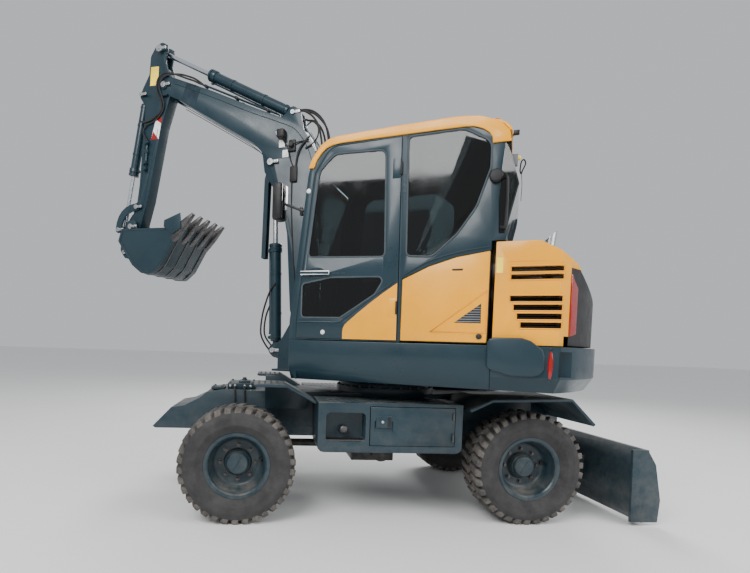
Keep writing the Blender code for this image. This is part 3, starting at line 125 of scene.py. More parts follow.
def lathe(profile, place=Matrix(), steps=64, closed=False):
    """(radius, height) points turned about local Z."""
    bm = bmesh.new()
    rings = []
    for radius, height in profile:
        count = steps if radius > 1e-6 else 1
        rings.append([bm.verts.new((radius * math.cos(2 * math.pi * k / steps),
                                    radius * math.sin(2 * math.pi * k / steps), height))
                      for k in range(count)])
    pairs = list(zip(rings, rings[1:]))
    if closed:
        pairs.append((rings[-1], rings[0]))
    for low, high in pairs:
        for k in range(steps):
            corners = [low[k % len(low)], low[(k + 1) % len(low)],
                       high[(k + 1) % len(high)], high[k % len(high)]]
            corners = list(dict.fromkeys(corners))
            if len(corners) > 2:
                bm.faces.new(corners)
    mesh = mesh_of(bm)
    mesh.transform(place)
    return mesh


def slab(outline, low, high, axis="Y"):
    """A flat outline in the two other axes, pushed along axis."""
    bm = bmesh.new()
    places = {"X": lambda a, b, c: (c, a, b), "Y": lambda a, b, c: (a, c, b),
              "Z": lambda a, b, c: (a, b, c)}[axis]
    ends = [[bm.verts.new(places(p[0], p[1], level)) for p in outline] for level in (low, high)]
    bm.faces.new(ends[0])
    bm.faces.new(ends[1])
    for i in range(len(outline)):
        j = (i + 1) % len(outline)
        bm.faces.new((ends[0][i], ends[0][j], ends[1][j], ends[1][i]))
    return mesh_of(bm)


def block(low, high, bevel=0.004, segments=2):
    outline = [(low[0], low[1]), (high[0], low[1]), (high[0], high[1]), (low[0], high[1])]
    return bevelled(slab(outline, low[2], high[2], "Z"), bevel, segments)


def bevelled(mesh, width, segments=2, angle=30):
    obj = object_of("host", mesh)
    edge = obj.modifiers.new("edge", "BEVEL")
    edge.width = width
    edge.segments = segments
    edge.limit_method = "ANGLE"
    edge.angle_limit = math.radians(angle)
    return baked(obj)


def smooth_line(points, per_span=8):
    """A Catmull-Rom line through the points."""
    points = [Vector(p) for p in points]
    ends = [points[0] * 2 - points[1]] + points + [points[-1] * 2 - points[-2]]
    line = []
    for a, b, c, d in zip(ends, ends[1:], ends[2:], ends[3:]):
        for k in range(per_span):
            t = k / per_span
            line.append(0.5 * (2 * b + (c - a) * t + (2 * a - 5 * b + 4 * c - d) * t * t
                               + (3 * b - a - 3 * c + d) * t ** 3))
    return line + [points[-1]]


def tube(points, radius, sides=12, smooth=True, ring=False):
    """A round tube along the points, closed at its ends."""
    line = smooth_line(points) if smooth else [Vector(p) for p in points]
    bm = bmesh.new()
    rings = []
    across = None
    for i, here in enumerate(line):
        before = line[i - 1] if i or ring else here
        after = line[(i + 1) % len(line)] if i + 1 < len(line) or ring else here
        ahead = (after - before).normalized()
        if across is None:
            across = ahead.orthogonal().normalized()
        across = (across - ahead * across.dot(ahead)).normalized()
        up = ahead.cross(across)
        rings.append([bm.verts.new(here + (across * math.cos(a) + up * math.sin(a)) * radius)
                      for a in (2 * math.pi * k / sides for k in range(sides))])
    pairs = list(zip(rings, rings[1:]))
    if ring:
        twist = min(range(sides), key=lambda k: (rings[-1][0].co - rings[0][k].co).length)
        pairs.append((rings[-1], rings[0][twist:] + rings[0][:twist]))
    else:
        bm.faces.new(rings[0])
        bm.faces.new(rings[-1])
    for low, high in pairs:
        for k in range(sides):
            j = (k + 1) % sides
            bm.faces.new((low[k], low[j], high[j], high[k]))
    return mesh_of(bm)


def merged(meshes):
    bm = bmesh.new()
    for mesh in meshes:
        bm.from_mesh(mesh)
        bpy.data.meshes.remove(mesh)
    mesh = bpy.data.meshes.new("shape")
    bm.to_mesh(mesh)
    bm.free()
    return mesh


def turned_to(direction, at):
    """A matrix that stands local Z on direction at a point."""
    turn = Vector(direction).to_track_quat("Z", "Y").to_matrix().to_4x4()
    return Matrix.Translation(Vector(at)) @ turn


def piece(name, mesh, body, material, place=Matrix(), angle=35):
    """A finished piece: its place in its mesh, its edges shaded, riding on its body."""
    mesh.transform(place)
    mesh.name = name
    mesh.materials.clear()
    mesh.materials.append(material)
    mesh.shade_smooth()
    mesh.set_sharp_from_angle(angle=math.radians(angle))
    obj = object_of(name, mesh)
    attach(obj, body)
    return obj


BODY_OF = {node: body for body, nodes in frame["record"]["behaviour"]["bodies"].items()
           for node in nodes}


def node_mesh(node):
    """A merged copy of a CAD node, with its flat faces whole again."""
    bm = bmesh.new()
    bm.from_mesh(frame["nodes"][node].data)
    bmesh.ops.remove_doubles(bm, verts=bm.verts, dist=0.00005)
    bmesh.ops.dissolve_limit(bm, angle_limit=math.radians(0.8), verts=bm.verts, edges=bm.edges)
    mesh = bpy.data.meshes.new(node)
    bm.to_mesh(mesh)
    bm.free()
    return mesh


def refine(node, material, bevel=0.005, segments=2, angle=32):
    """Stands a copy with rounded edges in a CAD node's place."""
    mesh = bevelled(node_mesh(node), bevel, segments, angle)
    obj = piece(node + "_skin", mesh, BODY_OF[node], material, angle=40)
    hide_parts(node)
    return obj


# ---------------------------------------------------------------- materials
def shader_of(name):
    made = bpy.data.materials.new(name)
    made.use_nodes = True
    return made, made.node_tree, made.node_tree.nodes["Principled BSDF"]


def add(tree, kind, **sockets):
    node = tree.nodes.new(kind)
    for key, value in sockets.items():
        socket = node.inputs[key.replace("_", " ")]
        if isinstance(value, bpy.types.NodeSocket):
            tree.links.new(value, socket)
        else:
            socket.default_value = value
    return node


def noise(tree, scale, detail=4.0, roughness=0.55):
    where = tree.nodes.new("ShaderNodeTexCoord").outputs["Object"]
    return add(tree, "ShaderNodeTexNoise", Vector=where, Scale=scale, Detail=detail,
               Roughness=roughness).outputs["Fac"]


def ranged(tree, value, low, high, out_low=0.0, out_high=1.0):
    node = tree.nodes.new("ShaderNodeMapRange")
    tree.links.new(value, node.inputs["Value"])
    for key, number in zip(("From Min", "From Max", "To Min", "To Max"),
                           (low, high, out_low, out_high)):
        node.inputs[key].default_value = number
    return node.outputs["Result"]


def mixed(tree, factor, one, two):
    node = tree.nodes.new("ShaderNodeMix")
    node.data_type = "RGBA"
    tree.links.new(factor, node.inputs["Factor"])
    for index, colour in ((6, one), (7, two)):
        if isinstance(colour, bpy.types.NodeSocket):
            tree.links.new(colour, node.inputs[index])
        else:
            node.inputs[index].default_value = (*colour, 1.0)
    return node.outputs[2]


def product(tree, one, two):
    node = tree.nodes.new("ShaderNodeMath")
    node.operation = "MULTIPLY"
    tree.links.new(one, node.inputs[0])
    tree.links.new(two, node.inputs[1])
    return node.outputs[0]


def facing_up(tree, low=0.35, high=0.95):
    """1 on faces that look at the sky, where dust settles."""
    normal = tree.nodes.new("ShaderNodeNewGeometry").outputs["Normal"]
    height = add(tree, "ShaderNodeSeparateXYZ", Vector=normal).outputs["Z"]
    return ranged(tree, height, low, high)


def near_ground(tree, low=0.1, high=1.1):
    """1 at the wheels' height, 0 above the deck."""
    where = tree.nodes.new("ShaderNodeTexCoord").outputs["Object"]
    height = add(tree, "ShaderNodeSeparateXYZ", Vector=where).outputs["Z"]
    return ranged(tree, height, low, high, 1.0, 0.0)


def bumped(tree, shader, value, strength, distance):
    bump = add(tree, "ShaderNodeBump", Strength=strength, Distance=distance, Height=value)
    tree.links.new(bump.outputs["Normal"], shader.inputs["Normal"])


DUST = (0.36, 0.31, 0.25)


def paint(name, colour, rough=0.32, dusty=0.20, low_dirt=0.0):
    """Sprayed machine paint: slight tone drift, orange peel, dust on ledges, small scuffs."""
    made, tree, shader = shader_of(name)
    deep = tuple(c * 0.82 for c in colour)
    tone = mixed(tree, ranged(tree, noise(tree, 1.6, 3), 0.35, 0.70), deep, colour)
    scuff = ranged(tree, noise(tree, 38, 8, 0.75), 0.685, 0.72, 0.0, 0.55)
    pale = tuple(min(1.0, c * 1.5 + 0.06) for c in colour)
    tone = mixed(tree, scuff, tone, pale)
    patches = ranged(tree, noise(tree, 7, 6, 0.7), 0.40, 0.72, 0.0, dusty * 2)
    tone = mixed(tree, product(tree, facing_up(tree), patches), tone, DUST)
    if low_dirt:
        splash = ranged(tree, noise(tree, 11, 7, 0.7), 0.38, 0.70, 0.0, low_dirt)
        tone = mixed(tree, product(tree, near_ground(tree), splash), tone, DUST)
    tree.links.new(tone, shader.inputs["Base Color"])
    gloss = ranged(tree, noise(tree, 5, 5), 0.3, 0.7, rough - 0.07, rough + 0.13)
    tree.links.new(gloss, shader.inputs["Roughness"])
    shader.inputs["Specular IOR Level"].default_value = 0.35
    shader.inputs["Coat Weight"].default_value = 0.15
    shader.inputs["Coat Roughness"].default_value = 0.12
    bumped(tree, shader, noise(tree, 260, 2), 0.06, 0.001)
    return made


# Rubber mottled towards a second colour as far as dusty allows: dust on the tyres and hoses, a painted highlight
# on the window seals.
def rubber(name, colour, dust_and_highlight, bump=0.35, scale=60, dusty=0.8):
    made, tree, shader = shader_of(name)
    tone = mixed(tree, ranged(tree, noise(tree, 9, 7, 0.7), 0.32, 0.72, 0.0, dusty), colour, dust_and_highlight)
    tree.links.new(tone, shader.inputs["Base Color"])
    tree.links.new(ranged(tree, noise(tree, 14), 0.3, 0.7, 0.72, 0.95), shader.inputs["Roughness"])
    bumped(tree, shader, noise(tree, scale, 5), bump, 0.004)
    return made


def plastic(name, colour, rough=0.45, grain=300):
    made, tree, shader = shader_of(name)
    lighter = tuple(c * 1.6 + 0.008 for c in colour)
    tone = mixed(tree, ranged(tree, noise(tree, 6, 5), 0.35, 0.75), colour, lighter)
    tree.links.new(tone, shader.inputs["Base Color"])
    tree.links.new(ranged(tree, noise(tree, 12), 0.3, 0.7, rough - 0.08, rough + 0.12),
                   shader.inputs["Roughness"])
    shader.inputs["Specular IOR Level"].default_value = 0.3
    bumped(tree, shader, noise(tree, grain, 3), 0.15, 0.0008)
    return made


def metal(name, colour, rough=0.3, stretch=1.0, dusty=0.1):
    made, tree, shader = shader_of(name)
    tone = mixed(tree, ranged(tree, noise(tree, 18, 6, 0.7), 0.4, 0.8, 0.0, dusty), colour, DUST)
    tree.links.new(tone, shader.inputs["Base Color"])
    tree.links.new(ranged(tree, noise(tree, 40 * stretch, 6), 0.3, 0.7, rough * 0.7, rough * 1.5),
                   shader.inputs["Roughness"])
    shader.inputs["Metallic"].default_value = 1.0
    bumped(tree, shader, noise(tree, 120, 4), 0.05, 0.0006)
    return made


def pane(name, tint, rough=0.03):
    made, tree, shader = shader_of(name)
    shader.inputs["Base Color"].default_value = (*tint, 1.0)
    shader.inputs["Transmission Weight"].default_value = 1.0
    shader.inputs["IOR"].default_value = 1.45
    tree.links.new(ranged(tree, noise(tree, 4, 6), 0.45, 0.8, rough, rough + 0.10),
                   shader.inputs["Roughness"])
    return made


def lamp_lens(name, colour, glow=0.0):
    made, tree, shader = shader_of(name)
    where = tree.nodes.new("ShaderNodeTexCoord").outputs["Object"]
    ridges = add(tree, "ShaderNodeTexWave", Vector=where, Scale=40.0, Distortion=0.0)
    tone = mixed(tree, ridges.outputs["Fac"], tuple(c * 0.7 for c in colour), colour)
    tree.links.new(tone, shader.inputs["Base Color"])
    shader.inputs["Roughness"].default_value = 0.12
    shader.inputs["Coat Weight"].default_value = 0.25
    if glow:
        shader.inputs["Emission Color"].default_value = (*colour, 1.0)
        shader.inputs["Emission Strength"].default_value = glow
    bumped(tree, shader, ridges.outputs["Fac"], 0.3, 0.002)
    return made


def weave(name, colour):
    made, tree, shader = shader_of(name)
    where = tree.nodes.new("ShaderNodeTexCoord").outputs["Object"]
    wave = add(tree, "ShaderNodeTexWave", Vector=where, Scale=160.0, Distortion=2.0)
    tone = mixed(tree, wave.outputs["Fac"], tuple(c * 0.6 for c in colour), colour)
    tree.links.new(tone, shader.inputs["Base Color"])
    shader.inputs["Roughness"].default_value = 0.9
    shader.inputs["Sheen Weight"].default_value = 0.3
    bumped(tree, shader, wave.outputs["Fac"], 0.4, 0.001)
    return made


MAT = {}


def make_materials(colours):
    slate, amber = tuple(colours.slate), tuple(colours.amber)
    MAT.update(
        slate=paint("slate_paint", slate, 0.32, 0.10),
        slate_low=paint("slate_paint_low", slate, 0.40, 0.22, 0.16),
        amber=paint("amber_paint", amber, 0.30, 0.05),
        tread=rubber("tyre_tread", (0.030, 0.029, 0.029), (0.155, 0.138, 0.120), 0.5, 70, 0.95),
        wall=rubber("tyre_wall", (0.020, 0.020, 0.022), (0.060, 0.056, 0.055), 0.25, 90, 0.7),
        hose=rubber("hose_rubber", (0.010, 0.010, 0.011), (0.05, 0.047, 0.042), 0.15, 200, 0.4),
        # Window seal: its blue-grey, paler than the black hose rubber, and its paler mottle are a painted
        # highlight on the beads round the panes.
        seal=rubber("window_seal", (0.045, 0.060, 0.070), (0.10, 0.12, 0.13), 0.1, 200, 0.4),
        black=plastic("black_plastic", (0.010, 0.010, 0.011)),
        grey=plastic("grey_plastic", (0.16, 0.17, 0.18), 0.4),
        white=plastic("white_plastic", (0.70, 0.70, 0.68), 0.4),
        cast=paint("dark_castings", (0.012, 0.014, 0.016), 0.5, 0.3, 0.25),
        chrome=metal("chrome_rod", (0.66, 0.70, 0.75), 0.16, dusty=0.02),
        steel=metal("bare_steel", (0.52, 0.53, 0.54), 0.32, dusty=0.15),
        worn=metal("worn_steel", (0.09, 0.09, 0.095), 0.42, dusty=0.25),
        glass=pane("cab_glass", (0.055, 0.075, 0.080)),
        mirror=metal("mirror_face", (0.30, 0.31, 0.32), 0.06, dusty=0.02),
        red=lamp_lens("red_lens", (0.34, 0.004, 0.004), 0.02),
        clear=lamp_lens("clear_lens", (0.75, 0.78, 0.80)),
        orange=lamp_lens("orange_lens", (0.80, 0.20, 0.01)),
        label=plastic("blank_label", (0.86, 0.62, 0.05), 0.35),
        plate=plastic("blank_plate", (0.75, 0.76, 0.76), 0.35),
        band=plastic("boom_band", (0.008, 0.020, 0.030), 0.35),
        fabric=weave("seat_fabric", (0.05, 0.052, 0.056)),
    )


# ---------------------------------------------------------------- geometry node tools
def new_tree(name, sockets):
    """A node group with one geometry in and out, and named inputs for its sizes."""
    tree = bpy.data.node_groups.new(name, "GeometryNodeTree")
    tree.interface.new_socket("Geometry", in_out="INPUT", socket_type="NodeSocketGeometry")
    for label, kind, value in sockets:
        socket = tree.interface.new_socket(label, in_out="INPUT", socket_type=kind)
        if value is not None:
            socket.default_value = value
    tree.interface.new_socket("Geometry", in_out="OUTPUT", socket_type="NodeSocketGeometry")
    return tree, tree.nodes.new("NodeGroupInput"), tree.nodes.new("NodeGroupOutput")


def close_tree(tree, source, group_in, group_out):
    """Realizes the instances, sets the material and ends the tree."""
    real = tree.nodes.new("GeometryNodeRealizeInstances")
    paint_it = tree.nodes.new("GeometryNodeSetMaterial")
    tree.links.new(source, real.inputs[0])
    tree.links.new(real.outputs[0], paint_it.inputs["Geometry"])
    tree.links.new(group_in.outputs["Material"], paint_it.inputs["Material"])
    tree.links.new(paint_it.outputs[0], group_out.inputs[0])


def copies_tree():
    """Copies of a shape, stood on the base mesh's points and turned by its 'turn' attribute."""
    tree, group_in, group_out = new_tree("copies_on_points", [
        ("Shape", "NodeSocketObject", None), ("Size", "NodeSocketFloat", 1.0),
        ("Material", "NodeSocketMaterial", None)])
    shape = tree.nodes.new("GeometryNodeObjectInfo")
    turn = tree.nodes.new("GeometryNodeInputNamedAttribute")
    turn.data_type = "FLOAT_VECTOR"
    turn.inputs["Name"].default_value = "turn"
    put = tree.nodes.new("GeometryNodeInstanceOnPoints")
    tree.links.new(group_in.outputs["Shape"], shape.inputs["Object"])
    tree.links.new(group_in.outputs["Geometry"], put.inputs["Points"])
    tree.links.new(shape.outputs["Geometry"], put.inputs["Instance"])
    tree.links.new(turn.outputs["Attribute"], put.inputs["Rotation"])
    tree.links.new(group_in.outputs["Size"], put.inputs["Scale"])
    close_tree(tree, put.outputs[0], group_in, group_out)
    return tree


def socket_id(tree, label):
    return next(item.identifier for item in tree.interface.items_tree if item.name == label)


def copies(shape_mesh, matrices, material, size=1.0):
    """One mesh of many copies of a shape, placed by Geometry Nodes."""
    tree = bpy.data.node_groups.get("copies_on_points") or copies_tree()
    points = bpy.data.meshes.new("points")
    points.from_pydata([tuple(m.translation) for m in matrices], [], [])
    turn = points.attributes.new("turn", "FLOAT_VECTOR", "POINT")
    turn.data.foreach_set("vector", [a for m in matrices for a in m.to_euler()])
    shape = object_of("shape", shape_mesh)
    host = object_of("copies", points)
    maker = host.modifiers.new("copies", "NODES")
    maker.node_group = tree
    maker[socket_id(tree, "Shape")] = shape
    maker[socket_id(tree, "Size")] = size
    maker[socket_id(tree, "Material")] = material
    mesh = baked(host)
    bpy.data.objects.remove(shape)
    return mesh


def hex_bolt(radius=0.010, height=0.008):
    """Washer and six-sided head, standing on local Z."""
    washer = lathe([(0, 0), (radius * 1.45, 0), (radius * 1.45, height * 0.25),
                    (0, height * 0.25)], steps=16)
    head = lathe([(0, height * 0.2), (radius, height * 0.2), (radius, height * 0.9),
                  (radius * 0.85, height), (0, height)], steps=6)
    return merged([washer, head])


def ring_places(count, radius, place, start=0.0):
    """Matrices round a circle in place's XY plane, each standing on its Z."""
    found = []
    for k in range(count):
        angle = start + 2 * math.pi * k / count
        at = Matrix.Translation((radius * math.cos(angle), radius * math.sin(angle), 0))
        found.append(place @ at @ Matrix.Rotation(angle, 4, "Z"))
    return found


# ---------------------------------------------------------------- settings
class ExcavatorSettings(bpy.types.PropertyGroup):
    slate: FloatVectorProperty(name="Slate paint", description="Chassis, boom and cab colour",
                               subtype="COLOR", size=3, default=(0.010, 0.031, 0.044))
    amber: FloatVectorProperty(name="Yellow paint", description="Hood, roof and flash colour",
                               subtype="COLOR", size=3, default=(1.0, 0.42, 0.004))
    lug_count: IntProperty(name="Lugs", description="Tread lugs round each shoulder of a tyre",
                           default=34, min=12, max=40)
    lug_depth: FloatProperty(name="Lug depth", description="Height of the tread lugs",
                             default=0.022, unit="LENGTH")
    wheel_nuts: IntProperty(name="Wheel nuts", description="Nuts on each wheel", default=8)
    edge: FloatProperty(name="Edge", description="Rounding on the edges of plate",
                        default=0.005, unit="LENGTH")
    hose: FloatProperty(name="Hose", description="Outer radius of the hydraulic hoses",
                        default=0.0115, unit="LENGTH")
    floor: FloatVectorProperty(name="Floor", description="Colour of the studio floor",
                               subtype="COLOR", size=3, default=(0.86, 0.86, 0.85))


def settings():
    return bpy.context.scene.excavator


class ExcavatorOperator:
    """What the operators of this add-on share."""
    bl_options = {"REGISTER", "UNDO"}

    def execute(self, context):
        self.build(settings())
        return {"FINISHED"}


# ---------------------------------------------------------------- wheels
def tyre_mesh(size, depth):
    """Carcass with a ribbed sidewall; local Z is the axle."""
    crown = size - depth
    bead = 0.2225
    profile = [(bead, 0.103), (0.232, 0.117), (0.243, 0.128), (0.252, 0.130), (0.256, 0.134),
               (0.290, 0.1475), (0.294, 0.1500), (0.300, 0.1495), (0.318, 0.1530),
               (0.340, 0.1535), (0.345, 0.1550), (0.350, 0.1535), (0.372, 0.150),
               (crown - 0.012, 0.140), (crown - 0.003, 0.122), (crown, 0.085), (crown, 0.0)]
    whole = profile + [(r, -z) for r, z in profile[-2::-1]]
    return lathe(whole, steps=96, closed=True)


def lug_mesh(depth, inner, outer, length, skew):
    """One tread block from inner to outer across the tyre, slanted, on local X = outwards."""
    bm = bmesh.new()
    rows = []
    for z, height in ((inner, 0.0), (outer * 0.90, 0.0), (outer, -0.012), (outer + 0.001, -0.040)):
        slide = skew * (z - inner)
        wide = length * (0.5 if z < outer else 0.44)
        top = [bm.verts.new((height, slide - wide, z)), bm.verts.new((height, slide + wide, z))]
        low = -depth + min(height, -0.004) - 0.004
        foot = [bm.verts.new((low, slide - wide * 1.18, z * 0.985)),
                bm.verts.new((low, slide + wide * 1.18, z * 0.985))]
        rows.append((foot[0], top[0], top[1], foot[1]))
    for a, b in zip(rows, rows[1:]):
        for k in range(4):
            j = (k + 1) % 4
            bm.faces.new((a[k], a[j], b[j], b[k]))
    bm.faces.new(rows[0])
    bm.faces.new(rows[-1])
    return bevelled(mesh_of(bm), 0.0025, 1)


def wheel_place(name):
    spin, side = WHEELS[name]
    return turned_to((0, side, 0), joint_place(spin))


class EXCAVATOR_OT_tyres(ExcavatorOperator, bpy.types.Operator):
    """Tyres with block lugs on both shoulders and ribbed sidewalls"""
    bl_idname = "excavator.tyres"
    bl_label = "Tyres"

    def build(self, sizes):
        low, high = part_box("front_left_tyre")
        size, half = (high.z - low.z) / 2, (high.y - low.y) / 2
        count, depth = sizes.lug_count, sizes.lug_depth
        for name in WHEELS:
            place = wheel_place(name)
            body = name + "_wheel"
            carcass = tyre_mesh(size, depth)
            wall = piece(name + "_tyre_carcass", carcass, body, MAT["wall"], place, 50)
            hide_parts(name + "_tyre")
            pitch = 2 * math.pi / count
            shoulder = lug_mesh(depth, 0.020, half - 0.012, pitch * size * 0.56, 0.30)
            centre = lug_mesh(depth, -0.030, 0.030, pitch * size * 0.40, -0.6)
            out = Matrix.Translation((size - 0.001, 0, 0))
            flip = Matrix.Rotation(math.pi, 4, "X")
            rounds = [Matrix.Rotation(pitch * k, 4, "Z") for k in range(count)]
            halves = [Matrix.Rotation(pitch * (k + 0.5), 4, "Z") for k in range(count)]
            lugs = copies(shoulder, [m @ out for m in rounds] + [m @ flip @ out for m in halves],
                          MAT["tread"])
            blocks = copies(centre, [Matrix.Rotation(pitch * 0.25, 4, "Z") @ m @ out for m in halves],
                            MAT["tread"])
            piece(name + "_tyre_lugs", merged([lugs, blocks]), body, MAT["tread"], place)


class EXCAVATOR_OT_rims(ExcavatorOperator, bpy.types.Operator):
    """Deep-dished disc wheels with nuts, hub cap and valve"""
    bl_idname = "excavator.rims"
    bl_label = "Rims"

    def build(self, sizes):
        profile = [(0, -0.052), (0.110, -0.052), (0.150, -0.050), (0.190, -0.048), (0.199, -0.060),
                   (0.203, -0.118), (0.214, -0.126), (0.2365, -0.127), (0.2360, -0.122),
                   (0.2245, -0.116), (0.2215, -0.105), (0.2215, 0.105), (0.2245, 0.116),
                   (0.2360, 0.122), (0.2365, 0.127), (0.230, 0.1285), (0.214, 0.125),
                   (0.205, 0.116), (0.202, 0.080), (0.198, 0.066), (0.190, 0.052), (0.186, 0.012),
                   (0.178, -0.006), (0.165, -0.016), (0.150, -0.020), (0.104, -0.020), (0.096, -0.012),
                   (0.092, 0.006), (0, 0.006)]
        cap = [(0, 0.058), (0.060, 0.058), (0.072, 0.054), (0.078, 0.046), (0.079, 0.030),
               (0.084, 0.026), (0.087, 0.022), (0.087, -0.004), (0, -0.004)]
        slot = block((-0.058, -0.0035, 0.055), (0.058, 0.0035, 0.0625), 0.001, 1)
        slot.transform(Matrix.Rotation(math.radians(60), 4, "Z"))
        for name in WHEELS:
            place, body = wheel_place(name), name + "_wheel"
            disc = piece(name + "_rim_disc", lathe(profile, steps=96), body, MAT["slate_low"],
                         place, 30)
            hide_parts(name + "_rim")
            nuts = copies(hex_bolt(0.0125, 0.020),
                          ring_places(sizes.wheel_nuts, 0.128, Matrix.Translation((0, 0, -0.020))),
                          MAT["worn"])
            piece(name + "_wheel_nuts", nuts, body, MAT["worn"], place)
            hub = merged([lathe(cap, steps=48), slot.copy()])
            piece(name + "_hub_cap", hub, body, MAT["slate_low"], place, 30)
            valve = merged([tube([(0.186, 0.02, -0.004), (0.176, 0.02, 0.02), (0.172, 0.02, 0.05)],
                                 0.0045, 8),
                            block((0.150, 0.006, -0.016), (0.182, 0.034, 0.006), 0.003)])
            piece(name + "_valve_guard", valve, body, MAT["black"], place)


# ---------------------------------------------------------------- chassis
class EXCAVATOR_OT_chassis(ExcavatorOperator, bpy.types.Operator):
    """Frame, axles, steps, tool boxes and fenders"""
    bl_idname = "excavator.chassis"
    bl_label = "Chassis"

    def build(self, sizes):
        refine("chassis_frame", MAT["slate_low"], sizes.edge)
        for node in ("front_axle", "rear_axle", "driveline", "knuckle_left", "knuckle_right"):
            refine(node, MAT["cast"], 0.004)
        for side in ("left", "right"):
            for node in ("toolbox_", "toolbox_door_", "rear_fender_", "front_step_"):
                refine(node + side, MAT["slate_low"], 0.003)
        self.slew_bolts()
        self.box_fittings()
        self.step_treads()
        self.axle_fittings()
        self.frame_fittings()

    def slew_bolts(self):
        place = Matrix.Translation((SLEW.x, SLEW.y, 0.955))
        bolts = copies(hex_bolt(0.009, 0.012), ring_places(30, 0.415, place), MAT["worn"])
        piece("slew_ring_bolts", bolts, "chassis", MAT["worn"])

    def box_fittings(self):
        """Latch plates, hinges and non-slip strips of the tool boxes."""
        for side, sign in (("left", 1), ("right", -1)):
            low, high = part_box("toolbox_door_" + side)
            face = high.y if sign > 0 else low.y
            reach = sorted((face - sign * 0.004, face + sign * 0.005))
            hinge_x = low.x + 0.012
            latch = block((high.x - 0.152, reach[0], low.z + 0.130),
                          (high.x - 0.040, reach[1], low.z + 0.215), 0.003)
            piece("toolbox_latch_" + side, latch, "toolbox_door_" + side, MAT["slate_low"])
            cup = sorted((face + sign * 0.004, face + sign * 0.0065))
            grip = block((high.x - 0.148, cup[0], low.z + 0.138), (high.x - 0.124, cup[1], low.z + 0.207),
                         0.001, 1)
            piece("toolbox_latch_grip_" + side, grip, "toolbox_door_" + side, MAT["black"])
            press = (high.x - 0.088, face + sign * 0.004, low.z + 0.172)
            button = lathe([(0, 0), (0.010, 0), (0.010, 0.004), (0.006, 0.007), (0, 0.007)],
                           turned_to((0, sign, 0), press), 24)
            piece("toolbox_latch_button_" + side, button, "toolbox_door_" + side, MAT["steel"])
            barrels = [lathe([(0, -0.028), (0.007, -0.026), (0.007, 0.026), (0, 0.028)],
                             Matrix.Translation((hinge_x, face + sign * 0.004, z)), 16)
                       for z in (low.z + 0.060, high.z - 0.060)]
            piece("toolbox_hinges_" + side, merged(barrels), "toolbox_door_" + side,
                  MAT["worn"])
            box_low, box_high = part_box("toolbox_" + side)
            ribs = [block((x, box_low.y + 0.040, box_high.z - 0.001),
                          (x + 0.012, box_high.y - 0.030, box_high.z + 0.004), 0.0015, 1)
                    for x in (box_low.x + 0.08 + k * 0.045 for k in range(21))]
            piece("toolbox_grip_" + side, merged(ribs), "chassis", MAT["slate_low"])
            near, far = sorted((sign * 0.83 + MIDDLE.y, sign * 0.925 + MIDDLE.y))
            tread = block((box_high.x - 0.340, near, box_low.z + 0.082),
                          (box_high.x - 0.062, far, box_low.z + 0.092), 0.003)
            knob = lathe([(0, 0), (0.026, 0), (0.030, 0.004), (0.030, 0.020), (0.022, 0.026),
                          (0, 0.027)], turned_to((0, sign, 0), (box_high.x - 0.200, near if sign > 0
                                                              else far, box_low.z + 0.150)), 28)
            piece("toolbox_foothold_" + side, merged([tread, knob]), "chassis", MAT["worn"])

    def step_treads(self):
        """Raised studs on the front step plates."""
        for side, sign in (("left", 1), ("right", -1)):
            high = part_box("front_step_" + side)[1]
            studs = []
            for i in range(5):
                for j in range(7):
                    x = high.x - 0.035 - i * 0.046
                    y = MIDDLE.y + sign * (0.49 + j * 0.055)
                    studs.append(Matrix.Translation((x, y, high.z - 0.001)))
            bump = lathe([(0, 0), (0.009, 0), (0.006, 0.004), (0, 0.004)], steps=10)
            mesh = copies(bump, studs, MAT["worn"])
            piece("step_studs_" + side, mesh, "chassis", MAT["worn"])

    def axle_fittings(self):
        """Hub bolts and the brake pipe on the rear axle."""
        low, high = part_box("rear_axle")
        x = (low.x + high.x) / 2
        z = 0.42
        bolts = []
        for sign in (1, -1):
            face = turned_to((0, sign, 0), (x, MIDDLE.y + sign * 0.6345, z))
            bolts += ring_places(12, 0.112, face)
        piece("rear_hub_bolts", copies(hex_bolt(0.008, 0.008), bolts, MAT["worn"]), "chassis",
              MAT["worn"])
        pipe = tube([(x + 0.09, MIDDLE.y - 0.52, z + 0.07), (x + 0.11, MIDDLE.y - 0.30, z + 0.10),
                     (x + 0.13, MIDDLE.y, z + 0.17), (x + 0.11, MIDDLE.y + 0.30, z + 0.10),
                     (x + 0.09, MIDDLE.y + 0.52, z + 0.07)], 0.005, 8)
        piece("rear_brake_pipe", pipe, "chassis", MAT["steel"])

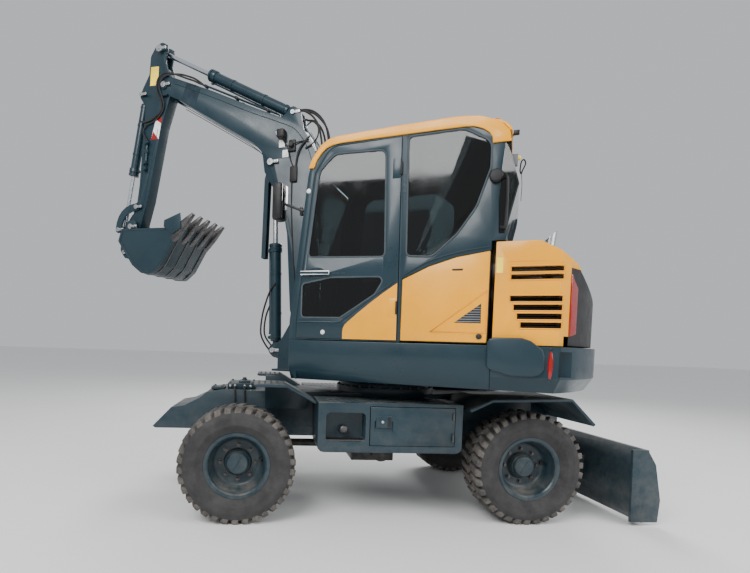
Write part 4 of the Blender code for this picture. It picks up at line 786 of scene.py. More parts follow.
    def frame_fittings(self):
        """Steering and brake valve on the frame's nose, with its bolts, unions and pipes."""
        valve = [block((0.985, -0.170, 0.902), (1.215, 0.210, 0.955), 0.008),
                 block((1.030, 0.040, 0.950), (1.125, 0.190, 0.975), 0.006),
                 block((1.235, 0.090, 0.902), (1.345, 0.270, 0.925), 0.005),
                 lathe([(0, 0), (0.024, 0), (0.024, 0.010), (0.016, 0.014), (0.016, 0.026),
                        (0, 0.028)], turned_to((0, 0, 1), (1.078, 0.110, 0.972)), 20)]
        piece("nose_valve", merged(valve), "chassis", MAT["slate_low"], CHASSIS)
        unions = [lathe([(0, -0.004), (0.012, -0.004), (0.012, 0.010), (0.008, 0.013), (0.008, 0.026),
                         (0, 0.028)], turned_to((0, 1, 0), (x, 0.208, 0.930)), 12)
                  for x in (1.020, 1.070, 1.150, 1.190)]
        piece("nose_unions", merged(unions), "chassis", MAT["steel"], CHASSIS)
        places = [CHASSIS @ Matrix.Translation((x, y, z)) for x, y, z in
                  ((1.005, -0.150, 0.954), (1.195, -0.150, 0.954), (1.005, 0.190, 0.954),
                   (1.195, 0.190, 0.954), (1.255, 0.110, 0.924), (1.325, 0.110, 0.924),
                   (1.255, 0.250, 0.924), (1.325, 0.250, 0.924))]
        piece("nose_bolts", copies(hex_bolt(0.009, 0.009), places, MAT["worn"]), "chassis",
              MAT["worn"])
        pipes = [tube(smooth_line([(x, 0.230, 0.930), (x, 0.300, 0.930), (x - 0.004, 0.346, 0.905),
                                   (x - 0.006, 0.350, 0.800), (x - 0.006, 0.350, end)]), 0.006, 8)
                 for x, end in ((1.070, 0.500), (1.150, 0.480))]
        piece("nose_pipes", merged(pipes), "chassis", MAT["hose"], CHASSIS)


# ---------------------------------------------------------------- blade
class EXCAVATOR_OT_blade(ExcavatorOperator, bpy.types.Operator):
    """Dozer blade with its bolted cutting edge"""
    bl_idname = "excavator.blade"
    bl_label = "Blade"

    def build(self, sizes):
        refine("dozer_blade", MAT["slate_low"], 0.003)
        low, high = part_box("dozer_blade")
        edge_x = CHASSIS.translation.x - 1.995
        strip = slab([(edge_x + 0.016, 0.032), (edge_x + 0.001, 0.100), (edge_x - 0.011, 0.170),
                      (edge_x - 0.021, 0.168), (edge_x - 0.009, 0.098), (edge_x + 0.004, 0.032)],
                     low.y + 0.03, high.y - 0.03)
        piece("blade_cutting_edge", bevelled(strip, 0.002), "blade", MAT["worn"])
        places = [turned_to((-1, 0, -0.15), (edge_x - 0.0155, low.y + 0.09 + k * 0.145, 0.133))
                  for k in range(13)]
        piece("blade_edge_bolts", copies(hex_bolt(0.012, 0.009), places, MAT["worn"]), "blade",
              MAT["worn"])


# ---------------------------------------------------------------- cylinders
CYLINDERS = {
    # name: (swing joint, slide joint, barrel radius, barrel length, foot radius, rod radius)
    "boom": ("boom_cylinder_swing", "boom_rod_slide", 0.056, 1.070, 0.055, 0.026),
    "arm": ("arm_cylinder_swing", "arm_rod_slide", 0.052, 1.130, 0.050, 0.025),
    "bucket": ("bucket_cylinder_swing", "bucket_rod_slide", 0.046, 0.860, 0.045, 0.023),
    "blade": ("blade_cylinder_swing", "blade_rod_slide", 0.037, 0.268, 0.046, 0.018),
}


def barrel_mesh(radius, length, foot, rod_radius):
    start = foot + radius * 0.6
    ring = radius + 0.010
    return lathe([(0, 0.02), (radius * 0.55, 0.02), (radius * 0.60, start), (radius * 0.9, start),
                  (radius, start + 0.008), (radius, start + 0.030), (radius + 0.004, start + 0.032),
                  (radius + 0.004, start + 0.044), (radius, start + 0.046), (radius, length - 0.085),
                  (ring - 0.002, length - 0.083), (ring, length - 0.080), (ring, length - 0.040),
                  (ring - 0.006, length - 0.038), (ring - 0.006, length - 0.030),
                  (ring, length - 0.028), (ring, length - 0.006), (ring - 0.005, length),
                  (rod_radius + 0.008, length), (rod_radius + 0.007, length - 0.006),
                  (rod_radius + 0.001, length - 0.006), (rod_radius + 0.001, foot + radius * 0.6 + 0.020),
                  (0, foot + radius * 0.6 + 0.020)], steps=48)


class EXCAVATOR_OT_cylinders(ExcavatorOperator, bpy.types.Operator):
    """Hydraulic cylinders: tubes with glands and ports, polished rods and their eyes"""
    bl_idname = "excavator.cylinders"
    bl_label = "Cylinders"

    def build(self, sizes):
        for name, (swing, slide, radius, length, foot, rod_radius) in CYLINDERS.items():
            run = Vector(JOINTS[slide]["axis"])
            base = joint_place(swing)
            place = turned_to(run, base)
            side = Vector(JOINTS[swing]["axis"])
            side = side if side.y > 0 else -side
            reach = self.reach_of(name + "_cylinder_rod", base, run)
            barrel_node, rod_node = name + "_cylinder_barrel", name + "_cylinder_rod"
            low, high = self.width_of(barrel_node, base, side)
            knob = lathe([(foot * 0.57, low), (foot - 0.003, low), (foot, low + 0.003),
                          (foot, high - 0.003), (foot - 0.003, high), (foot * 0.57, high)],
                         turned_to(side, base), 40, True)
            shell = barrel_mesh(radius, length, foot, rod_radius)
            shell.transform(place)
            up = side.cross(run).normalized()
            ports = []
            for far, push in ((foot + 0.075, 1), (length - 0.060, 1)):
                at = base + run * far + up * push * (radius + 0.004)
                ports.append(lathe([(0, -0.006), (0.020, -0.006), (0.020, 0.010), (0.014, 0.012),
                                    (0.014, 0.026), (0, 0.026)], turned_to(up * push, at), 20))
            body_name = BODY_OF[barrel_node]
            made = piece(barrel_node + "_tube", merged([knob, shell] + ports), body_name,
                         MAT["slate_low" if name == "blade" else "slate"])
            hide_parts(barrel_node)
            line = [base + run * (foot + 0.110) + up * (radius + 0.020),
                    base + run * (foot + 0.16) + up * (radius + 0.012),
                    base + run * (length * 0.6) + up * (radius + 0.011),
                    base + run * (length - 0.110) + up * (radius + 0.011),
                    base + run * (length - 0.066) + up * (radius + 0.024)]
            if name != "blade":
                pipe = tube(line, 0.008, 10)
                bands = [lathe([(radius + 0.001, -0.010), (radius + 0.004, -0.010),
                                (radius + 0.004, 0.010), (radius + 0.001, 0.010)],
                               turned_to(run, base + run * far), 40, True)
                         for far in (length * 0.35, length * 0.72)]
                piece(name + "_cylinder_pipe", merged([pipe] + bands), body_name, MAT["slate"])
            self.rod(name, rod_node, base, run, side, reach, length, rod_radius)

    def reach_of(self, node, base, run):
        """How far the rod's eye is from the foot pin, by the joint that it opens at."""
        points = [v.co for v in frame["nodes"][node].data.vertices]
        return max((p - base).dot(run) for p in points)

    def width_of(self, node, base, side):
        near = [(v.co - base) for v in frame["nodes"][node].data.vertices]
        across = [d.dot(side) for d in near if d.length < 0.11]
        return min(across), max(across)

    def rod(self, name, node, base, run, side, reach, length, rod_radius):
        eye_size = {"boom": 0.050, "arm": 0.050, "bucket": 0.042, "blade": 0.032}[name]
        eye = base + run * (reach - eye_size)
        body = BODY_OF[node]
        inner = length - (0.053 if name == "blade" else 0.088)
        bar = lathe([(0, inner), (rod_radius, inner),
                     (rod_radius, reach - eye_size * 1.9), (0, reach - eye_size * 1.9)],
                    turned_to(run, base), 40)
        made = piece(name + "_cylinder_rod_bar", bar, body, MAT["chrome"])
        collar = lathe([(0, reach - eye_size * 2.15), (rod_radius + 0.002, reach - eye_size * 2.15),
                        (rod_radius + 0.010, reach - eye_size * 2.0),
                        (rod_radius + 0.012, reach - eye_size * 1.4), (0, reach - eye_size * 1.4)],
                       turned_to(run, base), 32)
        head = lathe([(eye_size * 0.55, -0.035), (eye_size - 0.003, -0.035), (eye_size, -0.032),
                      (eye_size, 0.032), (eye_size - 0.003, 0.035), (eye_size * 0.55, 0.035)],
                     turned_to(side, eye), 40, True)
        head = piece(name + "_cylinder_rod_eye", merged([collar, head]), body,
                     MAT["slate_low" if name == "blade" else "slate"])
        if name == "boom":
            self.guard(body)
        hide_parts(node)

    def guard(self, body):
        """Channel that shields the boom rod, hung from its eye."""
        line = [(1.300, 3.060), (1.330, 2.950), (1.345, 2.160)]
        front = slab(line + [(x + 0.006, z) for x, z in line[::-1]], BOOM_Y - 0.036, BOOM_Y + 0.036)
        meshes = [bevelled(front, 0.0015, 1)]
        for sign in (1, -1):
            ends = sorted((BOOM_Y + sign * 0.030, BOOM_Y + sign * 0.036))
            flange = [(1.225, 3.075), (1.302, 3.060), (1.333, 2.950), (1.348, 2.160),
                      (1.306, 2.160), (1.290, 2.900), (1.225, 3.040)]
            meshes.append(bevelled(slab(flange, *ends), 0.0012, 1))
        piece("boom_rod_guard", merged(meshes), body, MAT["slate"], UPPER)


# ---------------------------------------------------------------- boom, arm and bucket
def pin_head(point, side_offset, radius, sign):
    """A pin's end with its chamfer, lock plate and bolt, and a grease nipple."""
    at = Vector(boom_line(point[0], point[1], sign * side_offset))
    place = turned_to((0, sign, 0), at)
    head = lathe([(0, -0.004), (radius, -0.004), (radius, 0.010), (radius - 0.003, 0.013),
                  (0.007, 0.013), (0.006, 0.018), (0.004, 0.022), (0, 0.022)], place, 32)
    plate = block((radius * 0.2, -0.014, -0.003), (radius + 0.050, 0.014, 0.006), 0.002)
    plate.transform(place)
    bolt = hex_bolt(0.008, 0.009)
    bolt.transform(place @ Matrix.Translation((radius + 0.032, 0, 0.005)))
    return merged([head, plate, bolt])


PINS = {
    # body: [(x, z, face offset from the boom plane, pin radius)]
    "upper": [(0.875, 1.440, 0.151, 0.034), (1.172, 1.233, 0.081, 0.027)],
    "boom": [(2.540, 4.036, 0.119, 0.030), (1.232, 3.085, 0.121, 0.033), (1.030, 3.560, 0.068, 0.023)],
    "arm": [(2.613, 4.433, 0.1075, 0.036), (2.858, 3.990, 0.096, 0.021), (2.900, 2.772, 0.0985, 0.025)],
    "guide_link": [(3.150, 2.535, 0.097, 0.022)],
    "bucket": [(2.940, 2.549, 0.137, 0.029), (3.020, 2.270, 0.137, 0.023)],
}


class EXCAVATOR_OT_equipment(ExcavatorOperator, bpy.types.Operator):
    """Boom, arm, links and bucket, with their pins, bands, labels and lamp"""
    bl_idname = "excavator.equipment"
    bl_label = "Work equipment"

    def build(self, sizes):
        refine("boom", MAT["slate"], 0.007)
        refine("arm", MAT["slate"], 0.005)
        for node in ("guide_link_left", "guide_link_right", "bucket_link"):
            refine(node, MAT["slate"], 0.003)
        refine("bucket", MAT["slate_low"], 0.003)
        for body, pins in PINS.items():
            heads = [pin_head((x, z), offset, radius, sign)
                     for x, z, offset, radius in pins for sign in (1, -1)]
            piece("pin_heads_" + body, merged(heads), body, MAT["steel"], UPPER)
        self.boom_trim()
        self.arm_trim()
        self.bucket_trim()

    def boom_trim(self):
        """Darker band near the tip, weld seams, work lamp and the valve boxes at the bend."""
        for name, sign in (("left", 1), ("right", -1)):
            face = sorted((BOOM_Y + sign * 0.0995, BOOM_Y + sign * 0.1012))
            band = slab([(2.150, 3.745), (2.080, 3.930), (2.255, 4.005), (2.325, 3.855)], *face)
            piece("boom_band_" + name, band, "boom", MAT["band"], UPPER)
            seam = [boom_line(x, z, sign * 0.1005) for x, z in
                    ((0.790, 2.60), (0.800, 3.05), (0.960, 3.35), (1.180, 3.475), (1.480, 3.605),
                     (1.920, 3.815), (2.400, 4.030))]
            low = [boom_line(x, z, sign * 0.1005) for x, z in
                   ((0.990, 2.35), (1.060, 2.62), (1.180, 2.88), (1.260, 3.04), (1.330, 3.17),
                    (1.470, 3.285), (1.660, 3.405), (2.100, 3.672), (2.400, 3.850))]
            seams = [tube(seam, 0.0035, 6), tube(low, 0.0035, 6)]
            piece("boom_weld_" + name, merged(seams), "boom", MAT["slate"], UPPER)
        lamp = [block((1.070, BOOM_Y + 0.102, 3.290), (1.150, BOOM_Y + 0.180, 3.370), 0.012, 3),
                tube([boom_line(1.080, 3.262, 0.100), boom_line(1.095, 3.295, 0.145)], 0.010, 10)]
        piece("boom_lamp_case", merged(lamp), "boom", MAT["black"], UPPER)
        lens = lathe([(0, -0.004), (0.030, -0.004), (0.033, 0.002), (0.024, 0.008), (0, 0.010)],
                     UPPER @ turned_to((1, 0, -0.15), boom_line(1.152, 3.330, 0.141)), 32)
        piece("boom_lamp_lens", lens, "boom", MAT["clear"])
        bracket = [block((1.085, BOOM_Y + 0.100, 3.215), (1.150, BOOM_Y + 0.112, 3.290), 0.005),
                   block((1.048, BOOM_Y + 0.100, 3.118), (1.112, BOOM_Y + 0.106, 3.190), 0.006),
                   lathe([(0, 0), (0.016, 0), (0.016, 0.008), (0, 0.008)],
                         turned_to((0, 1, 0), boom_line(1.078, 3.150, 0.105)), 20)]
        piece("boom_lamp_bracket", merged(bracket), "boom", MAT["white"], UPPER)
        dark = [block((0.970, BOOM_Y + 0.100, 3.165), (1.040, BOOM_Y + 0.120, 3.275), 0.008, 3),
                lathe([(0, 0), (0.024, 0), (0.024, 0.030), (0.018, 0.036), (0, 0.036)],
                      turned_to((0, 1, 0), boom_line(1.005, 3.222, 0.118)), 28),
                block((0.945, BOOM_Y + 0.100, 2.870), (1.020, BOOM_Y + 0.124, 3.020), 0.008, 3)]
        piece("boom_junction_boxes", merged(dark), "boom", MAT["black"], UPPER)

    def arm_trim(self):
        """Blank label and the striped warning patch on each side of the arm."""
        for name, sign in (("left", 1), ("right", -1)):
            face = sorted((BOOM_Y + sign * 0.0698, BOOM_Y + sign * 0.0708))
            label = slab([(2.644, 4.266), (2.748, 4.276), (2.757, 4.077), (2.652, 4.071)], *face)
            piece("arm_label_" + name, label, "arm", MAT["label"], UPPER)
            face = sorted((BOOM_Y + sign * 0.0696, BOOM_Y + sign * 0.0706))
            patch = slab([(2.668, 3.715), (2.590, 3.715), (2.632, 3.490), (2.735, 3.495)], *face)
            piece("arm_patch_" + name, patch, "arm", MAT["white"], UPPER)
            face = sorted((BOOM_Y + sign * 0.0704, BOOM_Y + sign * 0.0712))
            for k, corners in enumerate(([(2.668, 3.715), (2.590, 3.715), (2.600, 3.655), (2.652, 3.690)],
                                         [(2.632, 3.490), (2.735, 3.495), (2.705, 3.580)])):
                stripe = slab(corners, *face)
                piece("arm_patch_red_%s_%d" % (name, k), stripe, "arm", MAT["red"],
                      UPPER)
            valve = [tube([boom_line(2.772, 3.450, sign * 0.084), boom_line(2.790, 3.215, sign * 0.084)],
                          0.013, 14, False)]
            valve += [lathe([(0, -0.024), (0.022, -0.024), (0.026, -0.018), (0.026, 0.018),
                             (0.022, 0.024), (0, 0.024)],
                            turned_to((0, 1, 0), boom_line(x, z, sign * 0.092)), 24)
                      for x, z in ((2.772, 3.462), (2.792, 3.245), (2.793, 3.180))]
            valve.append(block((2.755, BOOM_Y + sign * 0.084 - 0.016, 3.345),
                               (2.805, BOOM_Y + sign * 0.084 + 0.016, 3.385), 0.004))
            piece("arm_line_valve_" + name, merged(valve), "arm", MAT["slate"], UPPER)
            seam = [boom_line(x, z, sign * 0.0705) for x, z in
                    ((2.640, 3.60), (2.735, 3.20), (2.812, 2.86), (2.850, 2.66))]
            other = [boom_line(x, z, sign * 0.0705) for x, z in
                     ((2.800, 3.60), (2.855, 3.05), (2.875, 2.86))]
            piece("arm_weld_" + name, merged([tube(seam, 0.003, 6), tube(other, 0.003, 6)]), "arm",
                  MAT["slate"], UPPER)

    def tooth_cap(self, y):
        """A cap that narrows and thins towards its tip."""
        rows = [((2.262, 2.352), (2.232, 2.318), 0.034), ((2.180, 2.492), (2.106, 2.447), 0.031),
                ((2.080, 2.556), (2.042, 2.522), 0.025), ((2.008, 2.596), (1.994, 2.582), 0.0215)]
        bm = bmesh.new()
        rings = []
        for top, low, half in rows:
            corners = ((top, -half), (top, half), (low, half), (low, -half))
            rings.append([bm.verts.new((at[0], y + side, at[1])) for at, side in corners])
        for a, b in zip(rings, rings[1:]):
            for k in range(4):
                j = (k + 1) % 4
                bm.faces.new((a[k], a[j], b[j], b[k]))
        bm.faces.new(rings[0])
        bm.faces.new(rings[-1])
        return bevelled(mesh_of(bm), 0.003, 2)

    def thick(self, line, out, back):
        """The outline of a strip that follows a line, out to its right and back to its left."""
        outer, inner = [], []
        for i, (x, z) in enumerate(line):
            before, after = line[max(i - 1, 0)], line[min(i + 1, len(line) - 1)]
            ahead = Vector((after[0] - before[0], after[1] - before[1])).normalized()
            side = Vector((-ahead.y, ahead.x))
            outer.append((x - side.x * out, z - side.y * out))
            inner.append((x + side.x * back, z + side.y * back))
        return outer + inner[::-1]

    def bucket_trim(self):
        """Tooth caps and pins, wear strips under the shell and weld lines on the sides."""
        teeth = []
        for k in range(5):
            y = BOOM_Y + (k - 2) * 0.142
            teeth.append(self.tooth_cap(y))
            teeth.append(lathe([(0, -0.036), (0.008, -0.036), (0.008, 0.036), (0, 0.036)],
                               turned_to((0, 1, 0), (2.175, y, 2.430)), 12))
        piece("bucket_tooth_caps", merged(teeth), "bucket", MAT["worn"], UPPER)
        under = [(2.210, 2.355), (2.360, 2.115), (2.396, 2.069), (2.440, 2.030), (2.495, 2.000),
                 (2.535, 1.992), (2.600, 1.997), (2.655, 2.014), (2.700, 2.045), (2.745, 2.080),
                 (2.900, 2.285)]
        strips = []
        for k in range(4):
            y = BOOM_Y + (k - 1.5) * 0.160
            strips.append(bevelled(slab(self.thick(under, 0.007, 0.010), y - 0.008, y + 0.008), 0.002, 1))
        piece("bucket_wear_strips", merged(strips), "bucket", MAT["worn"], UPPER)
        lines = []
        for sign in (1, -1):
            y = BOOM_Y + sign * 0.3105
            edge = [(x, y, z) for x, z in
                    ((2.250, 2.345), (2.390, 2.110), (2.510, 2.022), (2.628, 2.030), (2.740, 2.110),
                     (2.885, 2.300), (2.920, 2.352), (2.890, 2.460))]
            lines.append(tube(edge, 0.004, 6))
            mid = [(x, y, z) for x, z in ((2.330, 2.440), (2.600, 2.455), (2.880, 2.462))]
            lines.append(tube(mid, 0.005, 6))
        piece("bucket_side_welds", merged(lines), "bucket", MAT["slate_low"], UPPER)


# ---------------------------------------------------------------- pipes and hoses
class EXCAVATOR_OT_hoses(ExcavatorOperator, bpy.types.Operator):
    """Steel pipes along the boom and the rubber hoses between the moving parts"""
    bl_idname = "excavator.hoses"
    bl_label = "Pipes and hoses"

    def build(self, sizes):
        radius = sizes.hose
        self.boom_pipes()
        self.bend_hoses(radius)
        self.tip_hoses(radius)
        self.foot_hoses(radius)
        self.cylinder_loops(radius)

    def free_hoses(self, name, meshes):
        """One set of hoses between two bodies, merged into one loose object that rides on no body."""
        mesh = merged(meshes)
        mesh.transform(UPPER)
        mesh.materials.append(MAT["hose"])
        mesh.shade_smooth()
        obj = object_of(name, mesh)
        return obj

    def boom_pipes(self):
        """Two pairs of pipes clamped on the boom's back, from the bend to the tip."""
        top = [(0.712, 2.50), (0.725, 2.95), (0.790, 3.22), (0.905, 3.40)]
        ahead = [(1.200, 3.565), (1.420, 3.668), (1.928, 3.912), (2.060, 3.969)]
        for name, spread in (("outer", (0.080, 0.080, 0.090, 0.0965)),
                             ("inner", (0.058, 0.058, 0.072, 0.0795))):
            pipes = [tube([boom_line(x - 0.014, z, sign * spread[0]) for x, z in top], 0.008, 10)
                     for sign in (-1, 1)]
            pipes += [tube([boom_line(x, z, sign * y) for (x, z), y in zip(ahead, spread)], 0.008, 10)
                      for sign in (-1, 1)]
            piece("boom_pipes_" + name, merged(pipes), "boom", MAT["slate"], UPPER)
        clamps = []
        for x, z, tilt, y, half in ((1.300, 3.612, 25, 0.069, 0.026), (1.660, 3.784, 25.5, 0.071, 0.026),
                                    (2.020, 3.952, 24, 0.084, 0.022)):
            for sign in (1, -1):
                clamp = block((-0.016, -half, -0.006), (0.016, half, 0.022), 0.003)
                clamp.transform(Matrix.Translation(boom_line(x, z - 0.012, sign * y))
                                @ Matrix.Rotation(math.radians(-tilt), 4, "Y"))
                clamps.append(clamp)
        for z in (2.55, 2.85):
            for sign in (1, -1):
                clamps.append(block((0.692, BOOM_Y + sign * 0.069 - 0.026, z - 0.016),
                                    (0.722, BOOM_Y + sign * 0.069 + 0.026, z + 0.016), 0.003))
        piece("boom_pipe_clamps", merged(clamps), "boom", MAT["black"], UPPER)

    def bend_hoses(self, radius):
        """Loops behind the bend, from the boom's foot pipes to the arm cylinder."""
        lines = [
            (0.050, ((1.030, 3.590), (1.005, 3.590), (0.909, 3.558), (0.823, 3.495), (0.762, 3.402),
                     (0.735, 3.302), (0.716, 3.180), (0.694, 2.950), (0.690, 2.600))),
            (0.012, ((1.060, 3.600), (0.973, 3.590), (0.835, 3.545), (0.729, 3.445), (0.674, 3.340),
                     (0.655, 3.200), (0.665, 2.950), (0.672, 2.600))),
            (-0.022, ((1.060, 3.590), (0.960, 3.610), (0.850, 3.580), (0.760, 3.500), (0.700, 3.380),
                      (0.676, 3.200), (0.680, 2.950), (0.685, 2.600))),
            (-0.055, ((1.040, 3.580), (0.927, 3.520), (0.854, 3.500), (0.780, 3.430), (0.735, 3.320),
                      (0.715, 3.170), (0.700, 2.950), (0.695, 2.600))),
        ]
        hoses = [tube([boom_line(x, z, y) for x, z in line], radius * 0.85, 12) for y, line in lines]
        loop = [boom_line(0.862, 3.392, 0.108), boom_line(0.800, 3.420, 0.112),
                boom_line(0.745, 3.365, 0.105), boom_line(0.745, 3.276, 0.108),
                boom_line(0.800, 3.210, 0.112), boom_line(0.868, 3.180, 0.108)]
        side = [boom_line(0.826, 3.290, 0.106), boom_line(0.868, 3.250, 0.112),
                boom_line(0.918, 3.189, 0.116), boom_line(0.947, 3.117, 0.114),
                boom_line(0.962, 3.010, 0.112)]
        hoses += [tube(loop, radius * 0.6, 10), tube(side, radius * 0.8, 12)]
        piece("boom_bend_hoses", merged(hoses), "boom", MAT["hose"], UPPER)
        leads = [[boom_line(1.110, 3.300, 0.118), boom_line(1.075, 3.240, 0.125),
                  boom_line(1.045, 3.213, 0.128), boom_line(0.930, 3.248, 0.112),
                  boom_line(0.840, 3.245, 0.106)],
                 [boom_line(1.050, 3.190, 0.112), boom_line(1.030, 3.120, 0.122),
                  boom_line(1.010, 3.060, 0.112), boom_line(0.985, 3.015, 0.112)],
                 [boom_line(1.000, 2.875, 0.112), boom_line(1.000, 2.700, 0.106),
                  boom_line(0.985, 2.400, 0.104), boom_line(0.940, 1.900, 0.104),
                  boom_line(0.905, 1.620, 0.104)]]
        piece("boom_lamp_leads", merged([tube(line, 0.006, 8) for line in leads]), "boom",
              MAT["hose"], UPPER)

    def tip_hoses(self, radius):
        """Hoses that cross from the boom's tip to the bucket cylinder on the arm."""
        wide = 0.143  # room for the arm's top pin, which swings in here when the arm is out
        outer = ((2.048, 3.964, 0.0965), (2.090, 3.979, 0.112), (2.132, 3.996, wide),
                 (2.220, 4.034, wide), (2.320, 4.086, 0.120), (2.446, 4.142, 0.112),
                 (2.538, 4.152, 0.118), (2.603, 4.118, 0.118), (2.632, 4.052, 0.116),
                 (2.628, 3.967, 0.110), (2.586, 3.866, 0.092), (2.596, 3.783, 0.084),
                 (2.700, 3.712, 0.082), (2.808, 3.694, 0.080), (2.880, 3.712, 0.070))
        inner = ((2.048, 3.964, 0.0795), (2.078, 3.990, 0.094), (2.126, 4.018, wide),
                 (2.220, 4.060, wide), (2.320, 4.106, 0.116), (2.420, 4.126, 0.112),
                 (2.498, 4.128, 0.114),
                 (2.563, 4.100, 0.114), (2.598, 4.020, 0.112), (2.572, 3.920, 0.100),
                 (2.555, 3.830, 0.088), (2.600, 3.745, 0.082), (2.700, 3.680, 0.080),
                 (2.790, 3.655, 0.078), (2.835, 3.600, 0.076), (2.812, 3.530, 0.082),
                 (2.775, 3.490, 0.084))
        for name, sign in (("left", 1), ("right", -1)):
            meshes = [tube([boom_line(x, z, sign * y) for x, z, y in line], radius * 0.8, 12)
                      for line in (outer, inner)]
            obj = self.free_hoses("tip_hoses_" + name, meshes)
            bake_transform(obj)

    def cylinder_loops(self, radius):
        """Slack loops from the deck's bulkhead to the boom cylinder's foot."""
        meshes = []
        for offset, out in ((0.060, 0.0), (-0.060, 0.02)):
            line = ((1.172, 1.900), (1.218, 1.840), (1.262, 1.735), (1.305 + out, 1.580),
                    (1.318 + out, 1.400), (1.262, 1.285), (1.180, 1.205), (1.095, 1.150))
            meshes.append(tube([boom_line(x, z, offset) for x, z in line], radius * 0.8, 12))
        obj = self.free_hoses("boom_cylinder_loops", meshes)
        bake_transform(obj)

    def foot_hoses(self, radius):
        """Hoses from the deck up to the boom's foot."""
        meshes = []
        for y in (-0.060, -0.025, 0.010, 0.045):
            line = [boom_line(0.640, 1.420, y), boom_line(0.625, 1.560, y),
                    boom_line(0.640, 1.750, y), boom_line(0.680, 1.980, y),
                    boom_line(0.690, 2.250, y), boom_line(0.695, 2.520, y)]
            meshes.append(tube(line, radius, 12))
        obj = self.free_hoses("boom_foot_hoses", meshes)
        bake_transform(obj)


# ---------------------------------------------------------------- cab
def outline_of(node, highest=True):
    """The outline of a flat pane, in the upper's axes, on its outer or inner face."""
    bm = bmesh.new()
    bm.from_mesh(frame["nodes"][node].data)
    bm.transform(UPPER.inverted())
    bmesh.ops.remove_doubles(bm, verts=bm.verts, dist=0.0001)
    levels = [v.co.y for v in bm.verts]
    level = max(levels) if highest else min(levels)
    faces = [f for f in bm.faces if all(abs(v.co.y - level) < 0.0005 for v in f.verts)]
    edges = [e for e in bm.edges if sum(f in faces for f in e.link_faces) == 1]
    chain = [edges[0].verts[0], edges[0].verts[1]]
    while len(chain) < len(edges):
        step = next(e for e in edges if chain[-1] in e.verts and chain[-2] not in e.verts)
        chain.append(step.other_vert(chain[-1]))
    points = [v.co.copy() for v in chain]
    bm.free()
    return points


def seal(node, name, body, lift=0.004, radius=0.0065, highest=True):
    """Rubber bead round a flat pane, in blue-grey rubber whose paleness is a painted highlight."""
    points = outline_of(node, highest)
    points = [p + Vector((0, lift if highest else -lift, 0)) for p in points]
    piece(name, tube(points, radius, 10, False, True), body, MAT["seal"], UPPER)


